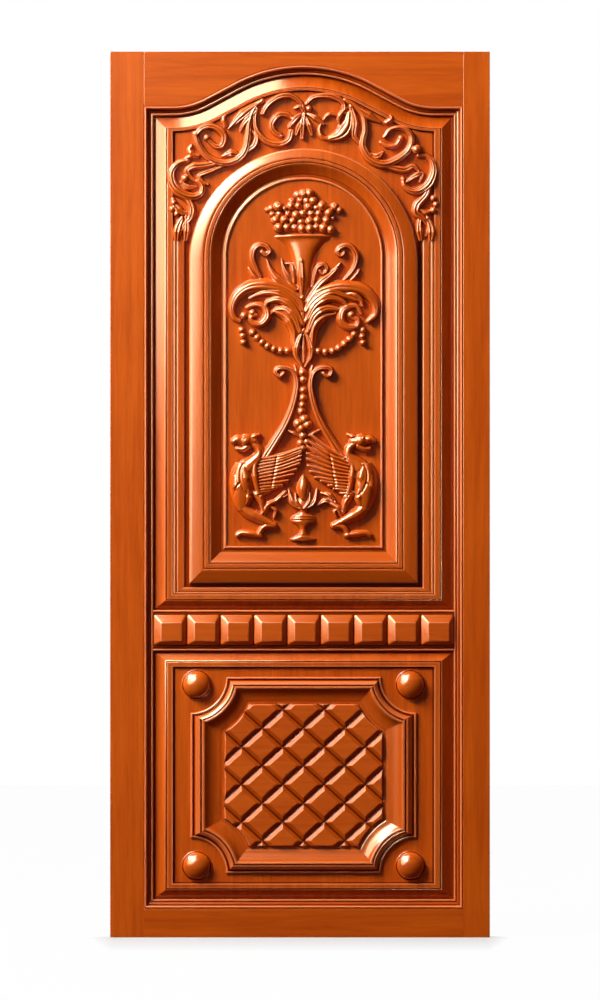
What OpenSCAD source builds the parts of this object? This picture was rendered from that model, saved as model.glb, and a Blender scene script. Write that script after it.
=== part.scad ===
// Carved temple door leaf: a frame-and-panel leaf with planted mouldings, studs, bosses and carved onlays.
// Built in face coordinates: x across the leaf, y up the leaf, z outwards from the face of the stiles.
// face() turns those upright, with the front towards -Y and the foot of the leaf on Z = 0.

/* [Leaf] */
// Width over both stiles
leaf_w = 900; // [860:5:960]
// Height of the stiles
leaf_h = 2100; // [2060:5:2200]
// Thickness of stiles and rails
leaf_t = 45; // [43:1:52]

/* [Frame] */
// Face width of the left stile
left_stile_w = 80; // [70:1:95]
// Face width of the right stile
right_stile_w = 63; // [60:1:95]
// Face height of the bottom rail
bottom_rail_h = 68; // [60:1:80]
// Face height of the top rail at its shoulders
top_rail_h = 129; // [122:1:140]
// How far the ogee rises above the shoulders
ogee_rise = 97; // [85:1:102]
// Length of the blind tenons
tenon_len = 42; // [30:1:48]
// Thickness of the tenons
tenon_t = 14; // [10:1:16]
// Shoulder of the top rail's tenons above the opening
tenon_drop = 25; // [20:1:30]
// Wood left above the top rail's tenons
tenon_head = 35; // [30:1:40]
// Shoulder above and below the lock rail's tenons
tenon_step = 8; // [6:1:12]
// Shoulder above and below the bottom rail's tenons
tenon_foot = 14; // [10:1:18]
// Thickness of the lip behind the panels
lip_t = 12; // [8:1:13]
// How far the lip stands behind the panels
lip_w = 14; // [8:1:20]

/* [Panels] */
// Thickness of a panel's edge in the rebate
edge_t = 16; // [12:1:16]
// Width of the planted bead round the opening
bead_w = 22; // [20:1:24]
// Width of the bevel beside the stiles
bevel_w = 28; // [24:1:30]
// Width of the flat border beside the stiles
border_w = 15; // [12:1:17]
// Depth of the border behind the stile face
border_depth = 2.5; // [2:0.5:4]
// Depth of the sunk ground behind the stile face
ground_depth = 7.5; // [6:0.5:9]
// Bevel and border beside the rails, as a share of those beside the stiles
rail_share = 0.8; // [0.7:0.05:0.9]

/* [Band] */
// Height of the band of studs above the floor
band_y = 679; // [650:1:700]
// Height of the band of studs
band_h = 97; // [92:1:104]
// Gap between neighbouring studs
stud_gap = 8; // [5:0.5:14]
// Height of a stud on the face
stud_h = 71; // [60:1:74]
// How far a stud stands out of the band board
stud_rise = 10; // [6:1:12]

/* [Arch] */
// Clear strip between the opening and the arch moulding
arch_margin = 107; // [104:1:112]
// Width of the arch moulding
arch_w = 89; // [84:1:94]
// Height of the arch moulding above the ground
arch_rise = 12.8; // [10:0.2:15]
// Clear height from the arch moulding's full round to the shoulders of the top rail
arch_clear = 85.5; // [80:0.5:92]
// Foot of the arched field above the band
field_lift = 152; // [148:1:160]
// How much the crown is trimmed
crown_trim = 15; // [10:1:18]
// Width of the slip beside the arch
slip_w = 24; // [20:1:26]
// Height of the slip above the ground
slip_rise = 4.5; // [3:0.5:5]
// Height of the carving's main forms above the ground
carving_rise = 15; // [12:0.5:16]

/* [Lattice] */
// Clear strip between the opening and the lattice frame
lattice_margin = 110; // [106:1:114]
// Width of the side pieces of the lattice frame
lattice_side_w = 80; // [74:1:84]
// Width of the top and bottom pieces of the lattice frame
lattice_rail_w = 63; // [58:1:66]
// Radius of the hollow corners
corner_r = 85; // [78:1:90]
// Width of the hollow corners
corner_w = 67; // [62:1:70]
// Width of a diamond from groove to groove
diamond_w = 98; // [90:1:106]
// Height of a diamond from groove to groove
diamond_h = 89; // [82:1:96]
// Thickness of the lattice board
lattice_t = 8; // [6:0.5:9]
// Depth of the grooves between diamonds
groove_depth = 5.5; // [3:0.5:6]
// Width of the grooves between diamonds
groove_w = 26; // [16:1:30]
// Radius of a boss
boss_r = 33; // [28:1:34]
// Height of a boss above the ground
boss_rise = 20; // [18.5:0.5:24]

/* [Hidden] */
$fn = 64;
open_l = -leaf_w / 2 + left_stile_w;
open_r = leaf_w / 2 - right_stile_w;
open_w = open_r - open_l;
axis = (open_l + open_r) / 2;
open_b = bottom_rail_h;
open_t = leaf_h - top_rail_h;
lip_z = lip_t - leaf_t;
seat_z = lip_z + edge_t;
border_z = -border_depth;
ground_z = -ground_depth;
face_y = (boss_rise - ground_depth - leaf_t) / 2;

// The ogee of the top rail: a crown arc, straights and reverse arcs down to flat shoulders.
ogee_slope = 28;
ogee_foot_r = 161 / 757 * open_w;
ogee_crown_r = 350 / 757 * open_w;
ogee_run = (ogee_rise - (ogee_crown_r + ogee_foot_r) * (1 - cos(ogee_slope))) / sin(ogee_slope);
ogee_half = (ogee_crown_r + ogee_foot_r) * sin(ogee_slope) + ogee_run * cos(ogee_slope);

// The band covers the panels' inner edges by band_lap.
band_lap = 12;
band_top = band_y + band_h;
lock_b = band_y + band_lap;
lock_t = band_top - band_lap;
band_t = 9;
band_z = seat_z + band_t;
stud_count = 9;
stud_pitch = (open_w - 2 * bead_w) / stud_count;
stud_w = stud_pitch - stud_gap;

// Steps of a raised panel: distance from the opening beside a stile, then height.
step_in = bead_w + 2 + bevel_w + border_w + 2;
panel_steps = [
    [0, lip_z],
    [0, seat_z],
    [bead_w + 2, seat_z],
    [bead_w + 2 + bevel_w, border_z - 1.5],
    [bead_w + 3.5 + bevel_w, border_z - 3],
    [bead_w + 5 + bevel_w, border_z],
    [step_in, border_z],
    [step_in, ground_z]
];

// The arch, in heights above the floor and radii about its springing point.
arch_out = open_w / 2 - arch_margin;
arch_in = arch_out - arch_w;
spring_y = open_t - arch_clear - arch_out;
field_y = band_top + field_lift;
slip_l = open_l + step_in + 1;
slip_r = open_r - step_in - 1;
slip_y = lock_t + rail_inset(step_in, band_lap) + 1;
slip_sill_h = 14;
slip_top = spring_y + 38;

// The lattice, about the middle of the lower panel's ground.
low_ground_b = open_b + rail_inset(step_in, bead_w);
low_ground_t = lock_b - rail_inset(step_in, band_lap);
low_y = (low_ground_b + low_ground_t) / 2;
lat_half_w = open_w / 2 - lattice_margin;
lat_half_h = (low_ground_t - low_ground_b) / 2 - 24;
lat_in_w = lat_half_w - lattice_side_w;
lat_in_h = lat_half_h - lattice_rail_w;
corner_out = corner_r + corner_w;
boss_u = lat_half_w - 15;
boss_v = lat_half_h - 18;

// Carving is drawn for an opening 757 wide and 454 from springing to crown, and a field 182.5 by 868.5.
frieze_scale = [open_w / 757, (open_t + ogee_rise - spring_y) / 454, carving_rise / 15];
field_scale = [arch_in / 182.5, (spring_y + arch_in - field_y) / 868.5, carving_rise / 15];
// Clearance between the frieze and the arch moulding
frieze_fit = 0.3;

wood = [0.72, 0.34, 0.11];
wood_dark = [0.62, 0.27, 0.08];
wood_light = [0.80, 0.42, 0.16];

// Turns face coordinates upright.
module face() {
    translate([0, face_y, 0]) rotate([90, 0, 0]) children();
}

// A box between two opposite corners, in face coordinates.
module box(a, b) {
    translate(a) cube(b - a);
}

// A profile of [x, z] points carried up the leaf from y0 to y1.
module run_up(profile, y0, y1) {
    translate([0, y1, 0]) rotate([90, 0, 0]) linear_extrude(y1 - y0) polygon(profile);
}

// A profile of [y, z] points carried across the leaf from x0 to x1.
module run_across(profile, x0, x1) {
    translate([x0, 0, 0]) rotate([90, 0, 90]) linear_extrude(x1 - x0) polygon(profile);
}

// Keeps what stands over a plan of [x, y] points, for mitred ends.
module mitred(plan) {
    intersection() {
        children();
        translate([0, 0, -leaf_t]) linear_extrude(2 * leaf_t) polygon(plan);
    }
}

// Inset of a panel's step beside a rail or the band, which covers the first lap millimetres.
function rail_inset(d, lap) = d == 0 ? 0 : lap + (d - bead_w) * rail_share;

// The ogee at d inside the opening's sides and e below its top, from the left end to the right end.
function ogee(d, e) = concat(
    [[open_l + d, open_t - e]],
    [for (i = [0:6]) let (a = i * ogee_slope / 6)
        [axis - ogee_half + (ogee_foot_r + e) * sin(a), open_t + ogee_foot_r - (ogee_foot_r + e) * cos(a)]],
    [for (i = [-8:8]) let (a = i * ogee_slope / 8)
        [axis + (ogee_crown_r - e) * sin(a), open_t + ogee_rise - ogee_crown_r + (ogee_crown_r - e) * cos(a)]],
    [for (i = [6:-1:0]) let (a = i * ogee_slope / 6)
        [axis + ogee_half - (ogee_foot_r + e) * sin(a), open_t + ogee_foot_r - (ogee_foot_r + e) * cos(a)]],
    [[open_r - d, open_t - e]]
);

// Outline of the upper panel at a step d, from the middle of its foot.
function upper_loop(d) = concat(
    [[axis, lock_t + rail_inset(d, band_lap)], [open_l + d, lock_t + rail_inset(d, band_lap)]],
    ogee(d, rail_inset(d, bead_w)),
    [[open_r - d, lock_t + rail_inset(d, band_lap)]]
);

// Outline of the lower panel at a step d, from the middle of its foot.
function lower_loop(d) = [
    [axis, open_b + rail_inset(d, bead_w)],
    [open_l + d, open_b + rail_inset(d, bead_w)],
    [open_l + d, lock_b - rail_inset(d, band_lap)],
    [open_r - d, lock_b - rail_inset(d, band_lap)],
    [open_r - d, open_b + rail_inset(d, bead_w)]
];

// A solid through closed loops of equal length, each a list of [x, y, z] points, from the back to the front.
module skin(loops) {
    n = len(loops[0]);
    last = len(loops) - 1;
    polyhedron(
        points = [for (loop = loops) each loop],
        faces = concat(
            [concat([0], [for (i = [n - 1:-1:1]) i])],
            [for (k = [0:last - 1], i = [0:n - 1]) let (j = (i + 1) % n)
                each [[k * n + i, k * n + j, k * n + n + j], [k * n + i, k * n + n + j, k * n + n + i]]],
            [[for (i = [0:n - 1]) last * n + i]]
        )
    );
}

// The frame

module mortise(x, y, h) {
    z = (lip_z + seat_z - tenon_t) / 2;
    box([x, y, z], [x + tenon_len, y + h, z + tenon_t]);
}

// Tenons of the top, lock and bottom rails that enter the stile at x.
module tenons(x) {
    mortise(x, open_t + tenon_drop, top_rail_h - tenon_drop - tenon_head);
    mortise(x, lock_b + tenon_step, lock_t - lock_b - 2 * tenon_step);
    mortise(x, tenon_foot, bottom_rail_h - 2 * tenon_foot);
}

module left_stile() {
    color(wood) face() difference() {
        union() {
            box([-leaf_w / 2, 0, -leaf_t], [open_l, leaf_h, 0]);
            stile_lips(open_l, open_l + lip_w);
        }
        tenons(open_l - tenon_len);
    }
}

module right_stile() {
    color(wood) face() difference() {
        union() {
            box([open_r, 0, -leaf_t], [leaf_w / 2, leaf_h, 0]);
            stile_lips(open_r - lip_w, open_r);
        }
        tenons(open_r);
    }
}

// The lips stop at the rails' own lips.
module stile_lips(x0, x1) {
    box([x0, open_b + lip_w, -leaf_t], [x1, lock_b - lip_w, lip_z]);
    box([x0, lock_t + lip_w, -leaf_t], [x1, open_t - lip_w, lip_z]);
}

module top_rail() {
    color(wood) face() union() {
        translate([0, 0, lip_z]) linear_extrude(-lip_z) polygon(above_ogee(0));
        translate([0, 0, -leaf_t]) linear_extrude(lip_t) polygon(above_ogee(lip_w));
        mortise(open_l - tenon_len, open_t + tenon_drop, top_rail_h - tenon_drop - tenon_head);
        mortise(open_r, open_t + tenon_drop, top_rail_h - tenon_drop - tenon_head);
    }
}

// The top rail's own outline, with its lower edge e below the opening's top.
function above_ogee(e) = concat(
    e == 0 ? [] : [[open_l, open_t - e]],
    ogee(e, e),
    e == 0 ? [] : [[open_r, open_t - e]],
    [[open_r, leaf_h], [open_l, leaf_h]]
);

module lock_rail() {
    color(wood) face() union() {
        box([open_l, lock_b, -leaf_t], [open_r, lock_t, seat_z]);
        box([open_l, lock_b - lip_w, -leaf_t], [open_r, lock_t + lip_w, lip_z]);
        mortise(open_l - tenon_len, lock_b + tenon_step, lock_t - lock_b - 2 * tenon_step);
        mortise(open_r, lock_b + tenon_step, lock_t - lock_b - 2 * tenon_step);
    }
}

module bottom_rail() {
    color(wood) face() union() {
        box([open_l, 0, -leaf_t], [open_r, open_b, 0]);
        box([open_l, open_b, -leaf_t], [open_r, open_b + lip_w, lip_z]);
        mortise(open_l - tenon_len, tenon_foot, bottom_rail_h - 2 * tenon_foot);
        mortise(open_r, tenon_foot, bottom_rail_h - 2 * tenon_foot);
    }
}

// The planted beads: distance from the opening's edge, then height.
bead_profile = [
    [0, seat_z], [0, -2.5], [1.5, -2.5], [2.5, -0.4], [4, 0.4], [5.5, 0], [7, -1.6],
    [8.5, -4.2], [11.5, -7.4], [15.5, -9.8], [16.5, -10.8], [18, -9.4], [20.5, -9.4], [bead_w, -11], [bead_w, seat_z]
];
bead_plan_l = [
    [open_l, open_b], [open_l + bead_w, open_b + bead_w], [open_l + bead_w, open_t - bead_w], [open_l, open_t]
];
bead_plan_b = [
    [open_l, open_b], [open_r, open_b], [open_r - bead_w, open_b + bead_w], [open_l + bead_w, open_b + bead_w]
];

module left_bead() {
    color(wood_dark) face() mitred(bead_plan_l) {
        run_up([for (p = bead_profile) [open_l + p[0], p[1]]], open_b, open_t);
    }
}

module right_bead() {
    color(wood_dark) face() mitred([for (p = bead_plan_l) [open_l + open_r - p[0], p[1]]]) {
        run_up([for (p = bead_profile) [open_r - p[0], p[1]]], open_b, open_t);
    }
}

module bottom_bead() {
    color(wood_dark) face() mitred(bead_plan_b) {
        run_across([for (p = bead_profile) [open_b + p[0], p[1]]], open_l, open_r);
    }
}

// The profile carried along the ogee, with its ends on the mitres.
module top_bead() {
    n = len(ogee(0, 0));
    color(wood_dark) face() skin([
        for (i = [0:n - 1]) [for (p = bead_profile) let (q = ogee(p[0], p[0])[i]) [q[0], q[1], p[1]]]
    ]);
}

// The panels

module upper_panel() {
    color(wood_light) face() skin([for (s = panel_steps) [for (p = upper_loop(s[0])) [p[0], p[1], s[1]]]]);
}

module lower_panel() {
    color(wood_light) face() skin([for (s = panel_steps) [for (p = lower_loop(s[0])) [p[0], p[1], s[1]]]]);
}

// The band

module band_board() {
    y0 = band_y;
    y1 = band_top;
    top = band_z;
    profile = [
        [y0, seat_z], [y0, top - 3], [y0 + 2, top - 1], [y0 + 5, top - 1], [y0 + 6, top - 3], [y0 + 8, top - 3],
        [y0 + 9.5, top], [y1 - 6, top], [y1 - 5, top - 2], [y1 - 3.5, top + 0.5], [y1, top - 1], [y1, seat_z]
    ];
    color(wood_dark) face() run_across(profile, open_l + bead_w, open_r - bead_w);
}

// A truncated pyramid: a bar with sloping sides crossed by another.
module stud(i) {
    x = open_l + bead_w + (i - 0.5) * stud_pitch;
    y = band_y + band_h / 2 + 1.5;
    z0 = band_z;
    z1 = band_z + stud_rise;
    slope = 16;
    lip = 2.5;
    half_w = stud_w / 2;
    half_h = stud_h / 2;
    color(wood_light) face() intersection() {
        run_up(
            [[x - half_w, z0], [x + half_w, z0], [x + half_w, z0 + lip], [x + half_w - slope, z1],
                [x - half_w + slope, z1], [x - half_w, z0 + lip]],
            y - half_h, y + half_h
        );
        run_across(
            [[y - half_h, z0], [y + half_h, z0], [y + half_h, z0 + lip], [y + half_h - slope, z1],
                [y - half_h + slope, z1], [y - half_h, z0 + lip]],
            x - half_w, x + half_w
        );
    }
}

// The arch: distance from the field's edge as a share of the width, then height as a share of the rise.
arch_profile = [
    for (p = [
        [0, 0], [0, 16], [2, 24], [6, 24], [9, 8], [16, 8], [18, 17], [27, 28], [38, 53], [47, 81], [52, 95],
        [53, 88], [55, 88], [56.5, 100], [64, 100], [66, 89], [67, 94], [74, 89], [82, 72], [89, 45], [93, 17],
        [94.5, 8], [95.5, 20], [98.5, 20], [100, 12], [100, 0]
    ]) [p[0] * arch_w / 100, p[1] * arch_rise / 100]
];
sill_y = field_y - arch_w;

module arch_crown() {
    color(wood) face() translate([axis, spring_y, ground_z]) intersection() {
        rotate_extrude(angle = 180, $fn = 128) polygon([for (p = arch_profile) [arch_in + p[0], p[1]]]);
        translate([0, -crown_trim, -1]) cylinder(r = arch_out, h = 2 * arch_rise, $fn = 128);
    }
}

module arch_leg() {
    mitred([[-arch_out, sill_y], [-arch_in, field_y], [-arch_in, spring_y], [-arch_out, spring_y]]) {
        translate([0, 0, ground_z]) run_up([for (p = arch_profile) [-arch_in - p[0], p[1]]], sill_y, spring_y);
    }
}

module arch_left() {
    color(wood) face() translate([axis, 0, 0]) arch_leg();
}

module arch_right() {
    color(wood) face() translate([axis, 0, 0]) mirror([1, 0, 0]) arch_leg();
}

module arch_sill() {
    color(wood) face() translate([axis, 0, 0]) {
        mitred([[-arch_out, sill_y], [arch_out, sill_y], [arch_in, field_y], [-arch_in, field_y]]) {
            translate([0, 0, ground_z])
                run_across([for (p = arch_profile) [field_y - p[0], p[1]]], -arch_out, arch_out);
        }
    }
}

// The slip: a small bead, a quirk and a hollow that falls towards the arch.
function slip_profile(w) = [
    for (p = [
        [0, 0], [0, 80], [6, 100], [20, 100], [28, 60], [34, 45], [40, 70], [47, 85], [56, 78], [78, 48], [96, 26], [100, 0]
    ]) [p[0] * w / 100, p[1] * slip_rise / 100]
];

module slip_left() {
    color(wood) face() {
        mitred([[slip_l, slip_y], [slip_l + slip_w, slip_y + slip_sill_h], [slip_l + slip_w, slip_top], [slip_l, slip_top]]) {
            translate([0, 0, ground_z]) run_up([for (p = slip_profile(slip_w)) [slip_l + p[0], p[1]]], slip_y, slip_top);
        }
    }
}

module slip_right() {
    color(wood) face() {
        mitred([[slip_r, slip_y], [slip_r - slip_w, slip_y + slip_sill_h], [slip_r - slip_w, slip_top], [slip_r, slip_top]]) {
            translate([0, 0, ground_z]) run_up([for (p = slip_profile(slip_w)) [slip_r - p[0], p[1]]], slip_y, slip_top);
        }
    }
}

module slip_sill() {
    plan = [
        [slip_l, slip_y], [slip_r, slip_y],
        [slip_r - slip_w, slip_y + slip_sill_h], [slip_l + slip_w, slip_y + slip_sill_h]
    ];
    color(wood) face() mitred(plan) {
        translate([0, 0, ground_z])
            run_across([for (p = slip_profile(slip_sill_h)) [slip_y + p[0], p[1]]], slip_l, slip_r);
    }
}

// The lattice frame: distance from its outer edge as a share of the width, then height.
function frame_profile(w) = [
    for (p = [
        [0, 0], [0, 3], [3, 4], [7, 4], [9, 2.4], [12, 2.4], [18, 6.6], [24, 9.2], [33, 9.6], [35, 8.4], [38, 8.4],
        [40, 9.4], [52, 8.2], [70, 6.2], [90, 5], [92, 3], [100, 3], [100, 0]
    ]) [p[0] * w / 100, p[1]]
];
// Where the inner hollow of a corner meets the inner edges of the side and rail pieces.
hollow_u = sqrt(corner_out * corner_out - lattice_rail_w * lattice_rail_w);
hollow_v = sqrt(corner_out * corner_out - lattice_side_w * lattice_side_w);

module lattice_side() {
    u0 = -lat_half_w;
    v0 = lat_half_h - corner_r;
    u1 = -lat_in_w;
    v1 = lat_half_h - hollow_v;
    mitred([[u0, -v0], [u1, -v1], [u1, v1], [u0, v0]]) {
        translate([0, 0, ground_z]) run_up([for (p = frame_profile(lattice_side_w)) [u0 + p[0], p[1]]], -v0, v0);
    }
}

module lattice_rail() {
    u0 = lat_half_w - corner_r;
    v0 = -lat_half_h;
    u1 = lat_half_w - hollow_u;
    v1 = -lat_in_h;
    mitred([[-u0, v0], [u0, v0], [u1, v1], [-u1, v1]]) {
        translate([0, 0, ground_z]) run_across([for (p = frame_profile(lattice_rail_w)) [v0 + p[0], p[1]]], -u0, u0);
    }
}

module lattice_left() {
    color(wood) face() translate([axis, low_y, 0]) lattice_side();
}

module lattice_right() {
    color(wood) face() translate([axis, low_y, 0]) mirror([1, 0, 0]) lattice_side();
}

module lattice_bottom() {
    color(wood) face() translate([axis, low_y, 0]) lattice_rail();
}

module lattice_top() {
    color(wood) face() translate([axis, low_y, 0]) mirror([0, 1, 0]) lattice_rail();
}

// A hollow corner about the lattice frame's lower left corner, cut on the mitres of its neighbours.
module hollow_corner() {
    far = corner_out + 10;
    mitred([[0, corner_r], [lattice_side_w, hollow_v], [far, far], [hollow_u, lattice_rail_w], [corner_r, 0], [0, 0]]) {
        translate([0, 0, ground_z]) rotate_extrude(angle = 90, $fn = 96)
            polygon([for (p = frame_profile(corner_w)) [corner_r + p[0], p[1]]]);
    }
}

module lattice_corner(i) {
    color(wood) face() translate([axis, low_y, 0]) at_corner(i) translate([-lat_half_w, -lat_half_h, 0]) hollow_corner();
}

// Corners run from the lower left round the lattice.
module at_corner(i) {
    mirror([i == 2 || i == 3 ? 1 : 0, 0, 0]) mirror([0, i > 2 ? 1 : 0, 0]) children();
}

// A board with crossing grooves, so that flat-topped diamonds stand between them.
module lattice_board() {
    tilt = atan2(diamond_h, diamond_w);
    reach = ceil((lat_in_w + lat_in_h * diamond_w / diamond_h) / diamond_w);
    color(wood_light) face() translate([axis, low_y, ground_z]) difference() {
        linear_extrude(lattice_t) difference() {
            square([2 * lat_in_w, 2 * lat_in_h], center = true);
            for (u = [-1, 1], v = [-1, 1])
                translate([u * lat_half_w, v * lat_half_h]) circle(r = corner_out, $fn = 96);
        }
        for (k = [-reach:reach], turn = [-1, 1]) {
            translate([k * diamond_w, diamond_h / 4, lattice_t]) rotate([0, 0, turn * tilt]) lattice_groove();
        }
    }
}

module lattice_groove() {
    length = 2 * (lat_half_w + lat_half_h);
    translate([-length / 2, 0, 0]) rotate([90, 0, 90]) linear_extrude(length)
        polygon([[-groove_w / 2, 0], [0, -groove_depth], [groove_w / 2, 0], [groove_w / 2, 1], [-groove_w / 2, 1]]);
}

// A turned dome on a thin flange.
module boss(i) {
    flange_r = boss_r + 3;
    dome_r = boss_r - 1;
    cap_h = boss_rise - 3;
    cap_r = (dome_r * dome_r + cap_h * cap_h) / (2 * cap_h);
    color(wood_light) face() translate([axis, low_y, ground_z]) at_corner(i) translate([-boss_u, -boss_v, 0]) union() {
        cylinder(r = flange_r, h = 1.5);
        cylinder(r = boss_r, h = 3);
        translate([0, 0, 3]) intersection() {
            translate([0, 0, cap_h - cap_r]) sphere(r = cap_r);
            cylinder(r = flange_r, h = cap_h + 1);
        }
    }
}

// Carving: limbs are D-shaped bars along curves, from points chosen by hand

function blend(a, b, c, d, t) = ((2 * b) + (c - a) * t + (2 * a - 5 * b + 4 * c - d) * t * t
    + (3 * b - a - 3 * c + d) * t * t * t) / 2;

// A smooth curve through points, with n steps from each to the next.
function curve(p, n) = let (m = len(p) - 1) concat(
    [for (i = [0:m - 1], j = [0:n - 1]) blend(p[max(i - 1, 0)], p[i], p[i + 1], p[min(i + 2, m)], j / n)],
    [p[m]]
);

// A value that runs through three, at a share t of the way.
function taper(v, t) = t < 0.5 ? v[0] + (v[1] - v[0]) * 2 * t : v[1] + (v[2] - v[1]) * (2 * t - 1);

section = [[-1, 0], [-0.55, 0.92], [0.55, 0.92], [1, 0]];

// The section across a path at its point i, with half its width and its height.
function rib(path, i, half, rise) = let (
    d = path[min(i + 1, len(path) - 1)] - path[max(i - 1, 0)],
    n = [-d[1], d[0]] / max(norm(d), 0.001)
) [for (s = section) [path[i][0] + n[0] * s[0] * half, path[i][1] + n[1] * s[0] * half, s[1] * rise]];

// A bar along points; w gives half its width at the start, middle and end, h its height there.
module limb(p, w, h, n = 2) {
    path = curve(p, n);
    last = len(path) - 1;
    for (i = [0:last - 1]) {
        link(
            rib(path, i, taper(w, i / last), taper(h, i / last)),
            rib(path, i + 1, taper(w, (i + 1) / last), taper(h, (i + 1) / last))
        );
    }
}

// The convex link between two sections.
module link(a, b) {
    hull() polyhedron(
        points = concat(a, b),
        faces = [[3, 2, 1, 0], [4, 5, 6, 7], [0, 1, 5, 4], [1, 2, 6, 5], [2, 3, 7, 6], [3, 0, 4, 7]]
    );
}

// A turned shape on an upright axis at x: each row is height on the face, half its width and its rise.
module spindle(x, rows) {
    for (i = [0:len(rows) - 2]) link(spindle_rib(x, rows[i]), spindle_rib(x, rows[i + 1]));
}

function spindle_rib(x, row) = [for (s = section) [x + s[0] * row[1], row[0], s[1] * row[2]]];

// A round bead sunk a little in the ground; sides below 13 make it faceted, for nodes that are meshes anyway.
module bead(p, r, sides = 8) {
    translate([p[0], p[1], r * 0.3]) sphere(r = r, $fn = sides);
}

module beads(points, r, sides = 8) {
    for (p = points) bead(p, r, sides);
}

// Carving that sits on the ground, drawn about a point on the axis and scaled by k along each direction.
module onlay(y, k) {
    translate([axis, y, ground_z]) intersection() {
        scale(k) children();
        translate([-open_w, -leaf_h, 0]) cube([2 * open_w, 2 * leaf_h, 30]);
    }
}

// Frieze carving also sits over the panel's border where it reaches that far, and stops at the arch moulding.
module frieze_onlay() {
    difference() {
        onlay(spring_y, frieze_scale) children();
        translate([0, 0, ground_z]) linear_extrude(ground_depth - border_depth) difference() {
            translate([open_l, spring_y]) square([open_w, open_t]);
            polygon(upper_loop(step_in));
        }
        translate([axis, spring_y, ground_z - 1]) linear_extrude(leaf_t) intersection() {
            circle(r = arch_out + frieze_fit, $fn = 128);
            translate([0, -crown_trim]) circle(r = arch_out + frieze_fit, $fn = 128);
        }
    }
}

module frieze() {
    color(wood_light) face() frieze_onlay() {
        frieze_palmette();
        frieze_left();
        frieze_right();
    }
}

module frieze_palmette() {
    limb([[3, 346], [-2, 320], [-3, 282]], [2, 7, 6], [5, 12, 9]);
    limb([[0, 340], [-16, 330], [-32, 310]], [2, 6, 5], [5, 11, 8]);
    limb([[1, 334], [-10, 311], [-18, 292]], [2, 6, 5], [5, 11, 8]);
    limb([[5, 340], [24, 332], [44, 316]], [2, 6, 5], [5, 11, 8]);
    limb([[4, 334], [13, 311], [18, 292]], [2, 6, 5], [5, 11, 8]);
    bead([13, 351], 8);
    limb([[-1, 344], [-9, 356], [-19, 352]], [3, 4, 4], [8, 9, 8]);
    limb([[0, 350], [-7, 365], [-24, 378], [-40, 382], [-64, 376], [-87, 358], [-97, 340]], [4, 6, 7], [7, 11, 10]);
    limb([[-110, 351], [-116, 328], [-112, 301], [-94, 277], [-72, 267], [-52, 267], [-34, 278], [-29, 296]],
        [4, 6, 8], [7, 10, 10]);
    limb([[-25, 327], [-40, 336], [-57, 336], [-70, 325], [-75, 310], [-68, 295], [-55, 287]], [6, 6, 7], [8, 10, 9]);
    limb([[6, 362], [23, 378], [53, 382], [78, 376], [94, 363], [95, 342]], [4, 6, 6], [7, 11, 10]);
    limb([[108, 340], [104, 312], [88, 290], [62, 280]], [8, 15, 8], [8, 13, 8]);
    limb([[62, 278], [45, 283], [37, 298], [40, 312]], [5, 5, 4], [7, 8, 7]);
    limb([[100, 352], [84, 330], [86, 312]], [4, 5, 3], [8, 10, 6]);
    limb([[48, 326], [60, 337], [76, 335]], [3, 4, 3], [6, 8, 6]);
}

module frieze_left() {
    limb([[-98, 370], [-117, 350], [-128, 322], [-132, 286], [-138, 253], [-156, 231], [-185, 222], [-213, 228],
        [-236, 245], [-251, 271], [-257, 292]], [5, 8, 6], [8, 13, 10]);
    limb([[-256, 288], [-243, 304], [-222, 309], [-202, 302], [-188, 285], [-193, 264], [-209, 262], [-225, 276]],
        [6, 7, 5], [10, 12, 9]);
    bead([-229, 282], 8);
    limb([[-104, 366], [-143, 338], [-178, 303]], [5, 11, 4], [8, 12, 6]);
    limb([[-110, 350], [-141, 317], [-150, 298]], [4, 7, 4], [8, 10, 6]);
    limb([[-136, 250], [-117, 264], [-112, 284], [-120, 296]], [6, 7, 4], [8, 10, 6]);
    limb([[-150, 240], [-170, 246], [-190, 238]], [4, 8, 4], [8, 11, 6]);
    limb([[-185, 310], [-190, 326], [-186, 336]], [5, 5, 3], [8, 9, 6], 2);
    limb([[-205, 222], [-240, 216], [-262, 214], [-276, 204], [-268, 188], [-254, 180]], [5, 8, 5], [9, 11, 8]);
    limb([[-190, 215], [-225, 202], [-247, 192], [-240, 178], [-228, 172]], [3, 5, 4], [7, 9, 7]);
    limb([[-250, 238], [-262, 242], [-270, 252], [-266, 264]], [5, 7, 4], [8, 10, 7], 2);
    limb([[-262, 240], [-280, 233]], [5, 6, 4], [8, 9, 7]);
    limb([[-274, 228], [-296, 222], [-311, 206], [-314, 186], [-306, 164], [-286, 148], [-262, 142], [-243, 150],
        [-240, 168], [-252, 180]], [5, 11, 6], [8, 14, 9]);
    limb([[-290, 176], [-274, 164], [-256, 166]], [4, 7, 4], [8, 10, 7], 2);
    bead([-281, 186], 9);
    limb([[-294, 148], [-272, 132], [-264, 112], [-268, 92], [-282, 76], [-293, 56]], [5, 8, 4], [8, 12, 7]);
    limb([[-310, 136], [-303, 118], [-288, 104], [-272, 102]], [5, 9, 5], [8, 11, 8], 2);
    beads([[-308, 128], [-311, 113], [-300, 102]], 8);
}

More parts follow.
